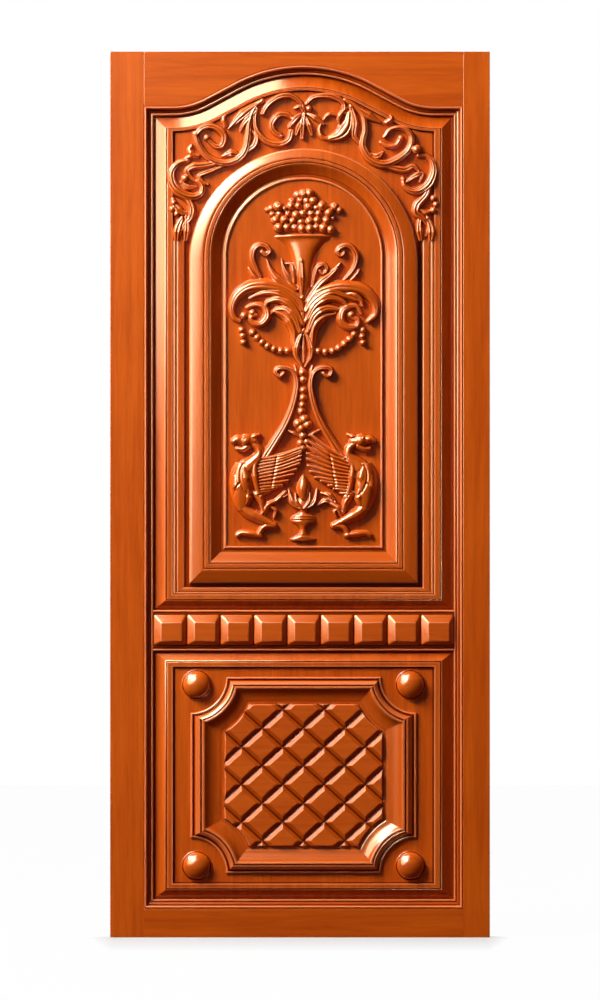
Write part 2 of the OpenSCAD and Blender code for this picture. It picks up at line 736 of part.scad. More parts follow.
module frieze_right() {
    limb([[98, 372], [125, 354], [141, 334], [146, 302], [141, 278], [142, 257], [160, 230], [192, 219], [222, 230],
        [246, 249], [256, 270], [255, 288], [242, 302], [225, 306], [204, 300], [192, 284]], [5, 9, 5], [8, 13, 9]);
    limb([[183, 271], [200, 262], [219, 264], [230, 279]], [4, 5, 5], [7, 9, 8]);
    bead([231, 281], 7);
    bead([268, 254], 12);
    limb([[112, 356], [122, 320], [120, 288], [132, 270]], [6, 8, 6], [8, 11, 8]);
    limb([[128, 352], [158, 331], [182, 318]], [5, 9, 4], [8, 11, 6]);
    limb([[196, 318], [208, 326], [206, 334]], [5, 6, 4], [8, 9, 7], 2);
    limb([[160, 242], [176, 238], [188, 248]], [5, 8, 4], [8, 11, 6]);
    limb([[180, 219], [214, 210], [240, 206], [260, 214], [272, 204]], [4, 8, 5], [8, 11, 8]);
    limb([[272, 240], [292, 238], [306, 222], [308, 198], [298, 174], [278, 158], [256, 156], [240, 168], [236, 184]],
        [5, 10, 6], [8, 14, 9]);
    limb([[246, 178], [262, 190], [280, 196], [276, 178]], [4, 6, 4], [8, 10, 7], 2);
    limb([[300, 172], [290, 146], [270, 122], [268, 104], [284, 90], [296, 72], [290, 50]], [6, 9, 4], [9, 13, 7]);
    limb([[276, 112], [290, 104], [304, 110]], [4, 7, 5], [8, 10, 8], 2);
    beads([[308, 138], [314, 124], [308, 110]], 8);
}

fruit_beads = [
    [[0, 834], 11], [[14, 836], 10], [[-14, 832], 9], [[-8, 820], 9], [[23, 818], 10], [[8, 818], 9], [[-28, 818], 7],
    [[-30, 806], 9], [[-12, 806], 8], [[11, 804], 10], [[30, 802], 8], [[43, 806], 11], [[-60, 804], 11], [[-76, 800], 8],
    [[-86, 797], 6], [[-74, 787], 7], [[-45, 800], 7], [[-57, 787], 9], [[-37, 788], 8], [[-18, 784], 10], [[-1, 788], 9],
    [[18, 788], 9], [[36, 788], 8], [[60, 790], 10], [[73, 804], 9], [[85, 796], 8], [[-66, 773], 10], [[-46, 773], 10],
    [[-26, 770], 9], [[-6, 768], 9], [[14, 770], 10], [[32, 772], 9], [[54, 772], 9], [[70, 778], 6], [[-58, 755], 11],
    [[-39, 755], 10], [[-21, 755], 9], [[-4, 752], 10], [[15, 752], 10], [[31, 757], 9], [[47, 754], 11], [[64, 750], 9]
];

module vase_spray() {
    color(wood_light) face() onlay(field_y, field_scale) {
        spindle(1, [[740, 66, 9], [734, 68, 11], [728, 62, 12], [722, 50, 13], [712, 38, 14], [696, 31, 15], [672, 26, 15],
            [646, 22, 15], [622, 18, 14], [604, 11, 12], [588, 3, 8]]);
        limb([[-4, 676], [-4, 640], [-4, 604]], [6, 8, 3], [15, 18, 12], 2);
        limb([[-93, 627], [-110, 656], [-117, 686], [-112, 704], [-98, 711], [-86, 704], [-86, 694], [-97, 692]],
            [4, 7, 5], [8, 11, 10]);
        limb([[79, 610], [104, 637], [119, 663], [121, 689], [109, 704], [94, 706], [85, 697], [93, 690], [101, 695]],
            [4, 7, 5], [8, 11, 10]);
        limb([[-100, 633], [-115, 643], [-125, 661]], [3, 5, 3], [6, 8, 6], 2);
        limb([[108, 630], [121, 641], [130, 655]], [3, 5, 3], [6, 8, 6], 2);
        limb([[-12, 598], [-39, 623], [-65, 645], [-86, 676]], [7, 12, 3], [9, 12, 8]);
        limb([[-24, 614], [-42, 647], [-52, 677]], [5, 8, 3], [9, 11, 7]);
        limb([[-22, 622], [-28, 656], [-38, 670]], [5, 8, 5], [9, 12, 9], 2);
        limb([[23, 631], [38, 644], [50, 659], [41, 668], [33, 657]], [4, 7, 5], [8, 11, 9], 2);
        limb([[10, 579], [32, 609], [55, 633], [85, 668]], [6, 10, 3], [9, 13, 8]);
        limb([[-3, 530], [-15, 571], [-45, 600], [-95, 612], [-136, 604], [-158, 579], [-162, 550], [-150, 530]],
            [7, 13, 7], [10, 15, 10]);
        limb([[-9, 523], [-30, 570], [-64, 590], [-90, 586], [-97, 571]], [7, 10, 6], [11, 14, 9]);
        limb([[-15, 500], [-30, 545], [-56, 566], [-83, 556]], [8, 11, 5], [12, 14, 8]);
        limb([[-19, 462], [-28, 512], [-44, 542], [-68, 552]], [8, 12, 5], [12, 13, 8]);
        limb([[4, 545], [34, 590], [73, 607], [111, 610], [146, 599], [165, 573], [164, 548], [148, 528]],
            [6, 13, 7], [10, 15, 10]);
        limb([[8, 535], [32, 574], [58, 586], [85, 573]], [7, 10, 5], [11, 14, 9]);
        limb([[11, 508], [23, 548], [47, 566], [76, 562]], [8, 11, 5], [12, 14, 8]);
        limb([[17, 465], [27, 512], [46, 542], [76, 555]], [8, 12, 5], [12, 13, 8]);
        limb([[88, 594], [109, 579], [132, 573], [142, 586]], [5, 9, 5], [9, 12, 8], 2);
        limb([[-144, 556], [-130, 570], [-107, 570], [-93, 553], [-94, 532], [-108, 521], [-122, 529], [-118, 542]],
            [5, 8, 6], [9, 13, 10]);
        limb([[138, 547], [128, 564], [107, 567], [92, 550], [95, 530], [110, 518], [128, 526], [118, 540]],
            [5, 8, 6], [9, 13, 10]);
        beads([[-121, 553], [-141, 546], [114, 548]], 9);
        limb([[-2, 508], [-14, 479], [-16, 452], [-5, 428]], [5, 8, 4], [10, 13, 9], 2);
        limb([[0, 508], [14, 479], [17, 452], [5, 428]], [5, 8, 4], [10, 13, 9], 2);
        limb([[-1, 500], [0, 466], [0, 432]], [4, 9, 4], [8, 9, 8], 2);
    }
}

module fruit() {
    color(wood_light) face() onlay(field_y, field_scale) for (f = fruit_beads) bead(f[0], f[1], 48);
}

// A string of beads and a short drop beside it.
module swag(string, drop) {
    color(wood_light) face() onlay(field_y, field_scale) {
        beads(string, 9, 48);
        beads(drop, 8.5, 48);
    }
}

module swag_left() {
    swag(
        [[-121, 506], [-110, 494], [-98, 483], [-85, 474], [-70, 467], [-54, 463], [-38, 462]],
        [[-147, 512], [-144, 498], [-142, 483]]
    );
}

module swag_right() {
    swag(
        [[35, 462], [52, 460], [69, 462], [84, 469], [97, 479], [109, 490], [120, 502]],
        [[141, 512], [139, 497], [141, 482]]
    );
}

// The string of beads, the pod and the berries between the arms of the lyre.
module bead_drop() {
    color(wood_light) face() onlay(field_y, field_scale) {
        beads([[-2, 411], [-1, 351], [-5, 319]], 11, 48);
        beads([[-1, 394], [-1, 369], [-3, 334]], 10, 48);
        bead([-3, 419], 7, 48);
        beads([[-13, 290], [2, 300], [10, 287], [-5, 279]], 13, 48);
        bead([-1, 261], 11, 48);
        beads([[-7, 244], [8, 247], [-2, 231]], 9, 48);
    }
}

// The arms of the lyre, from the volute down; grow widens them to cut a seat in a neighbour.
module lyre_arms(grow, rise) {
    for (s = [-1, 1]) {
        limb([[s * 19, 400], [s * 19, 372], [s * 26, 335], [s * 39, 292], [s * 58, 257], [s * 80, 228], [s * 94, 211]],
            [6 + grow, 8 + grow, 9 + grow], [rise, rise + 2, rise + 1]);
    }
}

module lyre() {
    color(wood_light) face() onlay(field_y, field_scale) {
        lyre_arms(0, 10);
        for (s = [-1, 1]) {
            limb([[s * 41, 408], [s * 49, 401], [s * 61, 405], [s * 61, 416], [s * 46, 422], [s * 28, 416], [s * 19, 399]],
                [4, 6, 6], [9, 11, 10]);
            limb([[s * 14, 262], [s * 24, 268], [s * 36, 274]], [3, 6, 5], [7, 10, 7]);
            limb([[s * 16, 404], [s * 19, 418], [s * 20, 428]], [3, 5, 3], [8, 9, 6]);
        }
    }
}

// The left griffin, seated and facing outwards, with its wing towards the axis.
module griffin() {
    difference() {
        union() {
            translate([0, 0, -1]) limb([[-132, 249], [-146, 247], [-164, 246]], [15, 13, 6], [14, 13, 9]);
            limb([[-140, 240], [-146, 232], [-154, 228]], [7, 5, 4], [11, 9, 7], 2);
            limb([[-124, 247], [-115, 255], [-110, 262]], [6, 7, 4], [10, 10, 7], 2);
            limb([[-126, 250], [-112, 228], [-122, 203], [-146, 176]], [10, 11, 20], [12, 13, 15]);
            limb([[-146, 186], [-144, 150], [-146, 118], [-132, 96]], [22, 32, 16], [15, 18, 13]);
            limb([[-160, 118], [-148, 84], [-112, 64], [-72, 49]], [14, 14, 6], [12, 13, 9]);
            limb([[-72, 50], [-95, 44], [-106, 24]], [6, 6, 6], [9, 10, 9], 2);
            limb([[-158, 24], [-136, 27], [-106, 22]], [7, 8, 8], [8, 10, 9], 2);
            limb([[-124, 108], [-112, 88], [-121, 76]], [9, 8, 6], [11, 11, 8], 2);
            limb([[-108, 70], [-90, 90], [-74, 108], [-52, 130]], [7, 7, 4], [9, 10, 7]);
            limb([[-88, 90], [-72, 82], [-68, 70]], [5, 5, 4], [8, 8, 6], 2);
            for (i = [0:7]) {
                t = i / 7;
                limb([[-110 + 8 * t, 190 - 62 * t], [-72 + 6 * t, 202 - 70 * t], [-20 - 26 * t * t, 238 - 94 * t]],
                    [6, 7, 4], [12 - 3 * t, 11 - 2 * t, 8], 2);
            }
            limb([[-108, 192], [-108, 160], [-102, 122]], [10, 15, 10], [15, 15, 12], 2);
            bead([-101, 117], 11);
        }
        lyre_arms(0.5, 40);
    }
}

module griffin_left() {
    color(wood_light) face() onlay(field_y, field_scale) griffin();
}

module griffin_right() {
    color(wood_light) face() onlay(field_y, field_scale) mirror([1, 0, 0]) griffin();
}

module urn() {
    color(wood_light) face() onlay(field_y, field_scale) {
        spindle(-1, [[13, 30, 9], [18, 31, 10], [24, 20, 10], [32, 9, 9], [44, 8, 9], [52, 12, 10], [58, 30, 12], [64, 33, 12],
            [70, 22, 12], [80, 9, 10], [88, 13, 11], [100, 20, 12], [116, 22, 12], [124, 16, 11]]);
        spindle(-1, [[112, 8, 13], [124, 14, 15], [138, 15, 16], [152, 12, 15], [164, 5, 11], [169, 1, 6]]);
        for (s = [-1, 1]) {
            limb([[s * 6 - 1, 90], [s * 18 - 1, 112], [s * 33 - 1, 130]], [7, 9, 3], [11, 12, 7], 2);
            limb([[s * 3 - 1, 88], [s * 9 - 1, 108], [s * 12 - 1, 124]], [5, 6, 3], [13, 14, 10], 2);
        }
    }
}

left_stile();
right_stile();
top_rail();
lock_rail();
bottom_rail();
left_bead();
right_bead();
top_bead();
bottom_bead();
upper_panel();
lower_panel();
band_board();
for (i = [1:stud_count]) stud(i);
arch_crown();
arch_left();
arch_right();
arch_sill();
slip_left();
slip_right();
slip_sill();
lattice_board();
lattice_left();
lattice_right();
lattice_top();
lattice_bottom();
for (i = [1:4]) lattice_corner(i);
for (i = [1:4]) boss(i);
frieze();
fruit();
vase_spray();
swag_left();
swag_right();
bead_drop();
lyre();
griffin_left();
griffin_right();
urn();
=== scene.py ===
"""The looks of a carved temple door leaf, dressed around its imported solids.

Sizes are millimetres on the face of the leaf: x across, y up, z out of the face of the stiles.
Leaf.place turns them into the row frame in metres, with the front towards -Y.
"""

from __future__ import annotations

import logging
import math
from dataclasses import dataclass, replace
from enum import Enum
from typing import Any, Callable, Sequence

import bmesh
import bpy
import numpy as np
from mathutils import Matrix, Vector

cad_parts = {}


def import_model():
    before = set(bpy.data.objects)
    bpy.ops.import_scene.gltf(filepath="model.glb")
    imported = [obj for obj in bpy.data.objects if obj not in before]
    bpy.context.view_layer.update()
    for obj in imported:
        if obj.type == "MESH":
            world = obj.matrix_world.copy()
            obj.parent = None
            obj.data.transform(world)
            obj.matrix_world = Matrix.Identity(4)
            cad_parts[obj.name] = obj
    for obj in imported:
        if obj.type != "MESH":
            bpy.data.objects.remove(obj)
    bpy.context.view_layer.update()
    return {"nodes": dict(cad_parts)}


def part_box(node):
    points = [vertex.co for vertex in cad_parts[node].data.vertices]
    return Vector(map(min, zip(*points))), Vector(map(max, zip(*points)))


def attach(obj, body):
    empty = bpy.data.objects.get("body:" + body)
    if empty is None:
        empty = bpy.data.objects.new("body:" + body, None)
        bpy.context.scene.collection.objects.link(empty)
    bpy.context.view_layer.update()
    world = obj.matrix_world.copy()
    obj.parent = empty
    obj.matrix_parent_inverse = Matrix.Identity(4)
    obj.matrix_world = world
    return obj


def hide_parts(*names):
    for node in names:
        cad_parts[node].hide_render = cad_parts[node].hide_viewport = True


LOG = logging.getLogger("door")
MM = 0.001
BODY = "root"
# how dark a span of painted shade is
SPAN_SHADE = 0.85
WHITE = (1.0, 1.0, 1.0, 1.0)
Colour = tuple[float, float, float, float]
Points = Sequence[Sequence[float]]
Path = Callable[[np.ndarray], tuple[np.ndarray, np.ndarray]]


class Grain(Enum):
    """The way the grain runs, as the stretch of the pattern along x, y and z."""

    UP = (1.0, 1.0, 0.055)
    ACROSS = (0.055, 1.0, 1.0)


class Value:
    """A shader socket that takes part in arithmetic; each operation adds a Math node."""

    def __init__(self, tree: bpy.types.NodeTree, socket: bpy.types.NodeSocket) -> None:
        """Keeps the tree that new nodes go in and the socket that is wrapped."""
        self.tree = tree
        self.socket = socket

    def math(self, operation: str, *others: Any, first: Any = None) -> Value:
        """Adds a Math node.

        Args:
            operation: the node's operation.
            others: the values or numbers after this one.
            first: a number that comes before this one, for reflected forms.

        Returns:
            The node's result.
        """
        node = self.tree.nodes.new("ShaderNodeMath")
        node.operation = operation
        operands = [self, *others] if first is None else [first, self]
        for socket, operand in zip(node.inputs, operands):
            if isinstance(operand, Value):
                self.tree.links.new(operand.socket, socket)
            else:
                socket.default_value = operand
        return Value(self.tree, node.outputs[0])

    def __add__(self, other: Any) -> Value:
        """The sum."""
        return self.math("ADD", other)

    def __sub__(self, other: Any) -> Value:
        """The difference."""
        return self.math("SUBTRACT", other)

    def __rsub__(self, other: Any) -> Value:
        """A number less this value."""
        return self.math("SUBTRACT", first=other)

    def __mul__(self, other: Any) -> Value:
        """The product."""
        return self.math("MULTIPLY", other)

    __radd__ = __add__
    __rmul__ = __mul__

    def clamped(self) -> Value:
        """The value held between nought and one."""
        return self.math("MAXIMUM", 0.0).math("MINIMUM", 1.0)


class Graph:
    """A material's node tree, filled from code."""

    def __init__(self, tree: bpy.types.NodeTree) -> None:
        """Keeps the tree."""
        self.tree = tree

    def node(self, kind: str, settings: dict[str, Any], inputs: dict[Any, Any]) -> bpy.types.Node:
        """Adds a node.

        Args:
            kind: the node's type.
            settings: properties of the node, set first.
            inputs: a value or a link for each named or numbered socket.

        Returns:
            The node.
        """
        node = self.tree.nodes.new(kind)
        for name, setting in settings.items():
            setattr(node, name, setting)
        for name, given in inputs.items():
            socket = given.socket if isinstance(given, Value) else given
            if isinstance(socket, bpy.types.NodeSocket):
                self.tree.links.new(socket, node.inputs[name])
            else:
                node.inputs[name].default_value = socket
        return node

    def value(self, kind: str, settings: dict[str, Any], inputs: dict[Any, Any], output: Any = 0) -> Value:
        """Adds a node and returns one of its outputs as a value."""
        return Value(self.tree, self.node(kind, settings, inputs).outputs[output])

    def noise(self, vector: Any, band: Band) -> Value:
        """Adds a Noise texture and returns its factor."""
        inputs = {"Vector": vector, "Scale": band.scale, "Detail": band.detail}
        return self.value("ShaderNodeTexNoise", {}, {**inputs, "Distortion": band.distortion})

    def attribute(self, name: str) -> Value:
        """Reads an attribute of the mesh."""
        return self.value("ShaderNodeAttribute", {"attribute_name": name}, {}, "Fac")

    def parts(self, output: str) -> tuple[Value, Value, Value]:
        """Splits one of the coordinates that a texture can use.

        Args:
            output: the coordinate's name.

        Returns:
            Its x, y and z.
        """
        place = self.node("ShaderNodeTexCoord", {}, {}).outputs[output]
        split = self.node("ShaderNodeSeparateXYZ", {}, {"Vector": place})
        return tuple(Value(self.tree, socket) for socket in split.outputs)

    def mixed(self, factor: Any, first: Any, second: Any) -> Value:
        """Adds a colour Mix node and returns its result."""
        inputs = {0: factor, 6: first, 7: second}
        return self.value("ShaderNodeMix", {"data_type": "RGBA"}, inputs, 2)


@dataclass(frozen=True)
class Band:
    """A band of noise in the wood's figure, with its share of the tone."""

    scale: float
    detail: float
    distortion: float
    share: float


DRIFT = Band(2.6, 2.0, 0.0, 0.9)
RINGS = Band(26.0, 4.0, 1.2, 1.5)
STREAKS = Band(110.0, 3.0, 0.4, 0.9)
FIBRES = Band(420.0, 2.0, 0.0, 0.5)


@dataclass(frozen=True)
class Varnish:
    """Stained hardwood under a gloss varnish.

    The figure is three bands of noise stretched along the grain over a slow drift. The mesh's own "recess"
    attribute paints shade into hollows with the stain colour, partly stain pooled there, and "ridge" brings
    in the paler wood of rubbed crests, partly a painted highlight.
    """

    slot: str
    grain: Grain
    pale: Colour = (0.80, 0.138, 0.006, 1.0)
    deep: Colour = (0.54, 0.068, 0.002, 1.0)
    # the stain colour, for the pores and for the painted shade in hollows
    stain_and_shade: Colour = (0.13, 0.009, 0.001, 1.0)
    # paler wood for rubbed crests, partly a painted highlight
    rubbed_and_highlight: Colour = (0.95, 0.36, 0.15, 1.0)
    roughness: float = 0.21
    figure: float = 1.0
    specular: float = 0.5
    coat: float = 0.35
    coat_roughness: float = 0.12
    pore_share: float = 0.35
    rubbed_and_highlight_share: float = 0.45
    # how much of the stain colour is painted into hollows as shade
    stain_and_shade_share: float = 0.9
    fibre_roughness: float = 0.10
    recess_polish: float = 0.12
    bump: float = 0.10
    bump_depth: float = 0.0004

    @property
    def name(self) -> str:
        """The material's name, after its slot and grain."""
        return f"{self.slot}_varnish_{self.grain.name.lower()}"

    def material(self) -> bpy.types.Material:
        """Makes the material once, or finds it.

        Returns:
            The material.
        """
        found = bpy.data.materials.get(self.name)
        if found is not None:
            return found
        material = bpy.data.materials.new(self.name)
        material.use_nodes = True
        graph = Graph(material.node_tree)
        shader = material.node_tree.nodes["Principled BSDF"]
        place = graph.node("ShaderNodeTexCoord", {}, {}).outputs["Object"]
        along = graph.node("ShaderNodeMapping", {}, {"Vector": place, "Scale": self.grain.value})
        vector = along.outputs["Vector"]
        drift = graph.noise(place, DRIFT)
        rings, streaks, fibres = (graph.noise(vector, band) for band in (RINGS, STREAKS, FIBRES))
        recess = graph.attribute("recess")
        ridge = graph.attribute("ridge")
        tone = (drift - 0.5) * DRIFT.share
        for noise, band in ((rings, RINGS), (streaks, STREAKS), (fibres, FIBRES)):
            tone = tone + (noise - 0.5) * (band.share * self.figure)
        wood = graph.mixed((tone + 0.5).clamped(), self.deep, self.pale)
        pores = ((streaks - 0.62) * 5.0).clamped() * ((rings - 0.5) * 3.0).clamped()
        wood = graph.mixed(pores * self.pore_share, wood, self.stain_and_shade)
        # rubbed crests and edges painted paler, partly a painted highlight
        wood = graph.mixed((ridge * ridge) * self.rubbed_and_highlight_share, wood, self.rubbed_and_highlight)
        # painted shade: hollows and creases darkened with the stain colour, partly stain pooled there
        wood = graph.mixed(recess * self.stain_and_shade_share, wood, self.stain_and_shade)
        rough = (fibres - 0.5) * self.fibre_roughness - recess * self.recess_polish + self.roughness
        relief = {"Strength": self.bump, "Distance": self.bump_depth, "Height": fibres * 0.5 + streaks}
        grooves = graph.node("ShaderNodeBump", {}, relief)
        links = material.node_tree.links
        links.new(wood.socket, shader.inputs["Base Color"])
        links.new(rough.socket, shader.inputs["Roughness"])
        links.new(grooves.outputs["Normal"], shader.inputs["Normal"])
        links.new((self.coat - recess * self.coat).socket, shader.inputs["Coat Weight"])
        shader.inputs["Specular IOR Level"].default_value = self.specular
        shader.inputs["Coat Roughness"].default_value = self.coat_roughness
        return material


FRAME_UP = Varnish("frame", Grain.UP, roughness=0.17)
FRAME_ACROSS = Varnish("frame", Grain.ACROSS, roughness=0.17)
MOULDING_UP = Varnish("moulding", Grain.UP, figure=0.7)
MOULDING_ACROSS = Varnish("moulding", Grain.ACROSS, figure=0.7)
PANEL_UP = Varnish("panel", Grain.UP, roughness=0.18)
PANEL_ACROSS = Varnish("panel", Grain.ACROSS, figure=0.8, roughness=0.24, specular=0.14, coat=0.03)
STUD_ACROSS = Varnish("stud", Grain.ACROSS, figure=0.8)
CARVING_UP = Varnish("carving", Grain.UP, figure=0.55, roughness=0.2)


@dataclass(frozen=True)
class Leaf:
    """Where the face of the leaf lies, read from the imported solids."""

    front: float
    open_l: float
    open_r: float
    open_b: float
    open_t: float
    ground: float

    @classmethod
    def from_frame(cls) -> Leaf:
        """Reads the opening from the planted beads and the carved ground from the back of the urn.

        Returns:
            The face.
        """
        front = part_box("left_stile")[0].y
        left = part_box("left_bead")
        return cls(
            front=front,
            open_l=left[0].x / MM,
            open_r=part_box("right_bead")[1].x / MM,
            open_b=left[0].z / MM,
            open_t=left[1].z / MM,
            ground=(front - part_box("urn")[1].y) / MM,
        )

    @property
    def axis(self) -> float:
        """The middle of the opening."""
        return (self.open_l + self.open_r) / 2

    @property
    def open_w(self) -> float:
        """The width of the opening."""
        return self.open_r - self.open_l

    def place(self, x: Any, y: Any, z: Any) -> np.ndarray:
        """Turns face sizes into points of the row frame.

        Args:
            x: millimetres across.
            y: millimetres up.
            z: millimetres out of the face of the stiles.

        Returns:
            An array whose last axis is a point in metres.
        """
        x, y, z = np.broadcast_arrays(x, y, z)
        return np.stack([x * MM, self.front - z * MM, y * MM], axis=-1)


def middle_of(node: str) -> tuple[float, float]:
    """The middle of a solid on the face, in millimetres."""
    low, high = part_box(node)
    return (low.x + high.x) / 2 / MM, (low.z + high.z) / 2 / MM


def softened(points: Points, steps: int = 5) -> np.ndarray:
    """Rounds a profile: a quadratic B-spline that keeps its ends, so a point given twice stays sharp.

    Args:
        points: control points.
        steps: points of the curve for each control point.

    Returns:
        The points of the curve.
    """
    p = np.asarray(points, float)
    mid = (p[1:] + p[:-1]) / 2
    a, b, c = mid[:-1, None], p[1:-1, None], mid[1:, None]
    t = np.linspace(0, 1, steps, endpoint=False)[None, :, None]
    curve = (1 - t) ** 2 * a + 2 * t * (1 - t) * b + t * t * c
    found = np.concatenate([p[:1], curve.reshape(-1, p.shape[1]), mid[-1:], p[-1:]])
    apart = np.linalg.norm(np.diff(found, axis=0), axis=1) > 1e-4
    return found[np.concatenate([[True], apart])]


def hollows(profile: np.ndarray, reach: float = 4.5, depth: float = 1.5) -> tuple[np.ndarray, np.ndarray]:
    """Finds hollows and crests of a profile by its height against the mean of its two sides, reach away.

    Args:
        profile: distance and height of each point, from one edge to the other.
        reach: how far to each side the heights are read.
        depth: the difference that counts as a full hollow.

    Returns:
        How hollow and how crested each point is, from nought to one.
    """
    d, z = profile[:, 0], profile[:, 1]
    order = np.argsort(d, kind="stable")
    sides = [np.interp(d + s * reach, d[order], z[order]) for s in (-1, -0.5, 0.5, 1)]
    rise = (z - np.mean(sides, axis=0)) / depth
    return np.clip(-rise, 0, 1), np.clip(rise, 0, 1)


def wood_object(
    name: str,
    verts: np.ndarray,
    faces: Sequence[Sequence[int]],
    finish: Varnish,
    marks: dict[str, np.ndarray],
    sharp: float = 32.0,
) -> bpy.types.Object:
    """Makes a closed mesh with its faces turned outwards and its sharp edges marked.

    Args:
        name: the object's name.
        verts: points in metres.
        faces: the faces' vertices.
        finish: the varnish.
        marks: attributes of the vertices.
        sharp: the angle in degrees past which an edge is sharp.

    Returns:
        The object.
    """
    mesh = bpy.data.meshes.new(name)
    mesh.from_pydata(verts.reshape(-1, 3), [], faces)
    for mark, numbers in marks.items():
        attribute = mesh.attributes.new(mark, "FLOAT", "POINT")
        attribute.data.foreach_set("value", np.ravel(numbers).astype(np.float32))
    bm = bmesh.new()
    bm.from_mesh(mesh)
    bmesh.ops.recalc_face_normals(bm, faces=bm.faces)
    bm.to_mesh(mesh)
    bm.free()
    mesh.polygons.foreach_set("use_smooth", np.ones(len(mesh.polygons), bool))
    mesh.set_sharp_from_angle(angle=math.radians(sharp))
    mesh.materials.append(finish.material())
    piece = bpy.data.objects.new(name, mesh)
    bpy.context.scene.collection.objects.link(piece)
    return piece


def dressed(piece: bpy.types.Object, finish: Varnish, *nodes: str) -> None:
    """Puts a new piece on the leaf in place of the solids that it stands for.

    Args:
        piece: the piece.
        finish: its varnish; not used.
        nodes: the solids.
    """
    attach(piece, BODY)
    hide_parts(*nodes)
    LOG.info("%s: %d faces for %s", piece.name, len(piece.data.polygons), ", ".join(nodes))


def skin(loops: np.ndarray) -> tuple[np.ndarray, list[list[int]]]:
    """Joins closed loops into a solid with flat ends.

    Args:
        loops: an array of loops, each an array of points.

    Returns:
        The points and the faces.
    """
    rows, n = loops.shape[:2]
    index = np.arange(rows * n).reshape(rows, n)
    side = np.roll(index, -1, axis=1)
    quads = np.stack([index[:-1], side[:-1], side[1:], index[1:]], axis=-1).reshape(-1, 4)
    ends = [index[0, ::-1].tolist(), index[-1].tolist()]
    return loops.reshape(-1, 3), quads.tolist() + ends


def straight(*ends: Sequence[float]) -> Path:
    """A straight run between cut ends.

    At a distance d from the moulding's edge an end is at x + a d across and y + b d up.

    Args:
        ends: x, a, y and b of each end.

    Returns:
        A path, which gives x and y of every end, as rows, for every distance, as columns.
    """

    def path(d: np.ndarray) -> tuple[np.ndarray, np.ndarray]:
        """x and y of the ends at each distance."""
        across = np.stack([x + a * d for x, a, _, _ in ends])
        return across, np.stack([y + b * d for _, _, y, b in ends])

    return path


@dataclass(frozen=True)
class ShadeSpan:
    """A span of a profile, by distance, that is painted dark as a whole: painted shade."""

    start: float
    end: float
    level: float = SPAN_SHADE


def moulding(
    leaf: Leaf,
    node: str,
    profile: np.ndarray,
    path: Path,
    finish: Varnish,
    *shade_spans: ShadeSpan,
) -> None:
    """Carries a profile along a path and puts it in place of a solid.

    Args:
        leaf: the face.
        node: the solid.
        profile: distance and height of each point.
        path: gives x and y of every station, as rows, for every distance, as columns.
        finish: the varnish.
        shade_spans: the spans that are painted dark as a whole, as painted shade.
    """
    x, y = path(profile[:, 0])
    verts, faces = skin(leaf.place(x, y, profile[None, :, 1]))
    # painted shade in the profile's hollows, and rubbed crests that are partly a painted highlight
    hollow, crest = hollows(profile)
    # painted shade: each span is darkened as a whole with the stain colour
    for stain_and_shade in shade_spans:
        spanned = (profile[:, 0] >= stain_and_shade.start) & (profile[:, 0] <= stain_and_shade.end)
        hollow = np.where(spanned, np.maximum(hollow, stain_and_shade.level), hollow)
    marks = {"recess": np.tile(hollow, len(x)), "ridge": np.tile(crest, len(x))}
    dressed(wood_object(f"{node}_wood", verts, faces, finish, marks), finish, node)


@dataclass(frozen=True)
class Ogee:
    """The line over the upper panel: a crown arc, straights and reverse arcs down to flat shoulders."""

    leaf: Leaf
    rise: float = 97.0
    slope: float = math.radians(28)
    foot_share: float = 161 / 757
    crown_share: float = 350 / 757
    foot_stations: int = 15
    crown_stations: int = 41

    def line(self, d: np.ndarray, e: np.ndarray) -> tuple[np.ndarray, np.ndarray]:
        """The ogee at d inside the opening's sides and e below its top, from left to right.

        An arc of radius r about c is c + r (sin a, cos a), with a up to the slope of the straights.

        Args:
            d: distances from the sides, one for each column.
            e: distances from the top, one for each column.

        Returns:
            x and y, with a row for each station and a column for each distance.
        """
        leaf = self.leaf
        d, e = np.atleast_1d(d)[None, :], np.atleast_1d(e)[None, :]
        foot, crown = self.foot_share * leaf.open_w, self.crown_share * leaf.open_w
        run = (self.rise - (crown + foot) * (1 - math.cos(self.slope))) / math.sin(self.slope)
        half = (crown + foot) * math.sin(self.slope) + run * math.cos(self.slope)
        a = np.linspace(0, self.slope, self.foot_stations)[:, None]
        b = np.linspace(-self.slope, self.slope, self.crown_stations)[:, None]
        foot_x, foot_y = (foot + e) * np.sin(a), leaf.open_t + foot - (foot + e) * np.cos(a)
        crown_x = leaf.axis + (crown - e) * np.sin(b)
        crown_y = leaf.open_t + self.rise - crown + (crown - e) * np.cos(b)
        left, right = leaf.open_l + d, leaf.open_r - d
        flat = leaf.open_t - e + 0 * d
        rising = np.maximum(leaf.axis - half + foot_x, left)
        falling = np.minimum(leaf.axis + half - foot_x[::-1], right)
        x = np.concatenate([left, rising, crown_x, falling, right])
        y = np.concatenate([flat, foot_y, crown_y, foot_y[::-1], flat])
        return x, y


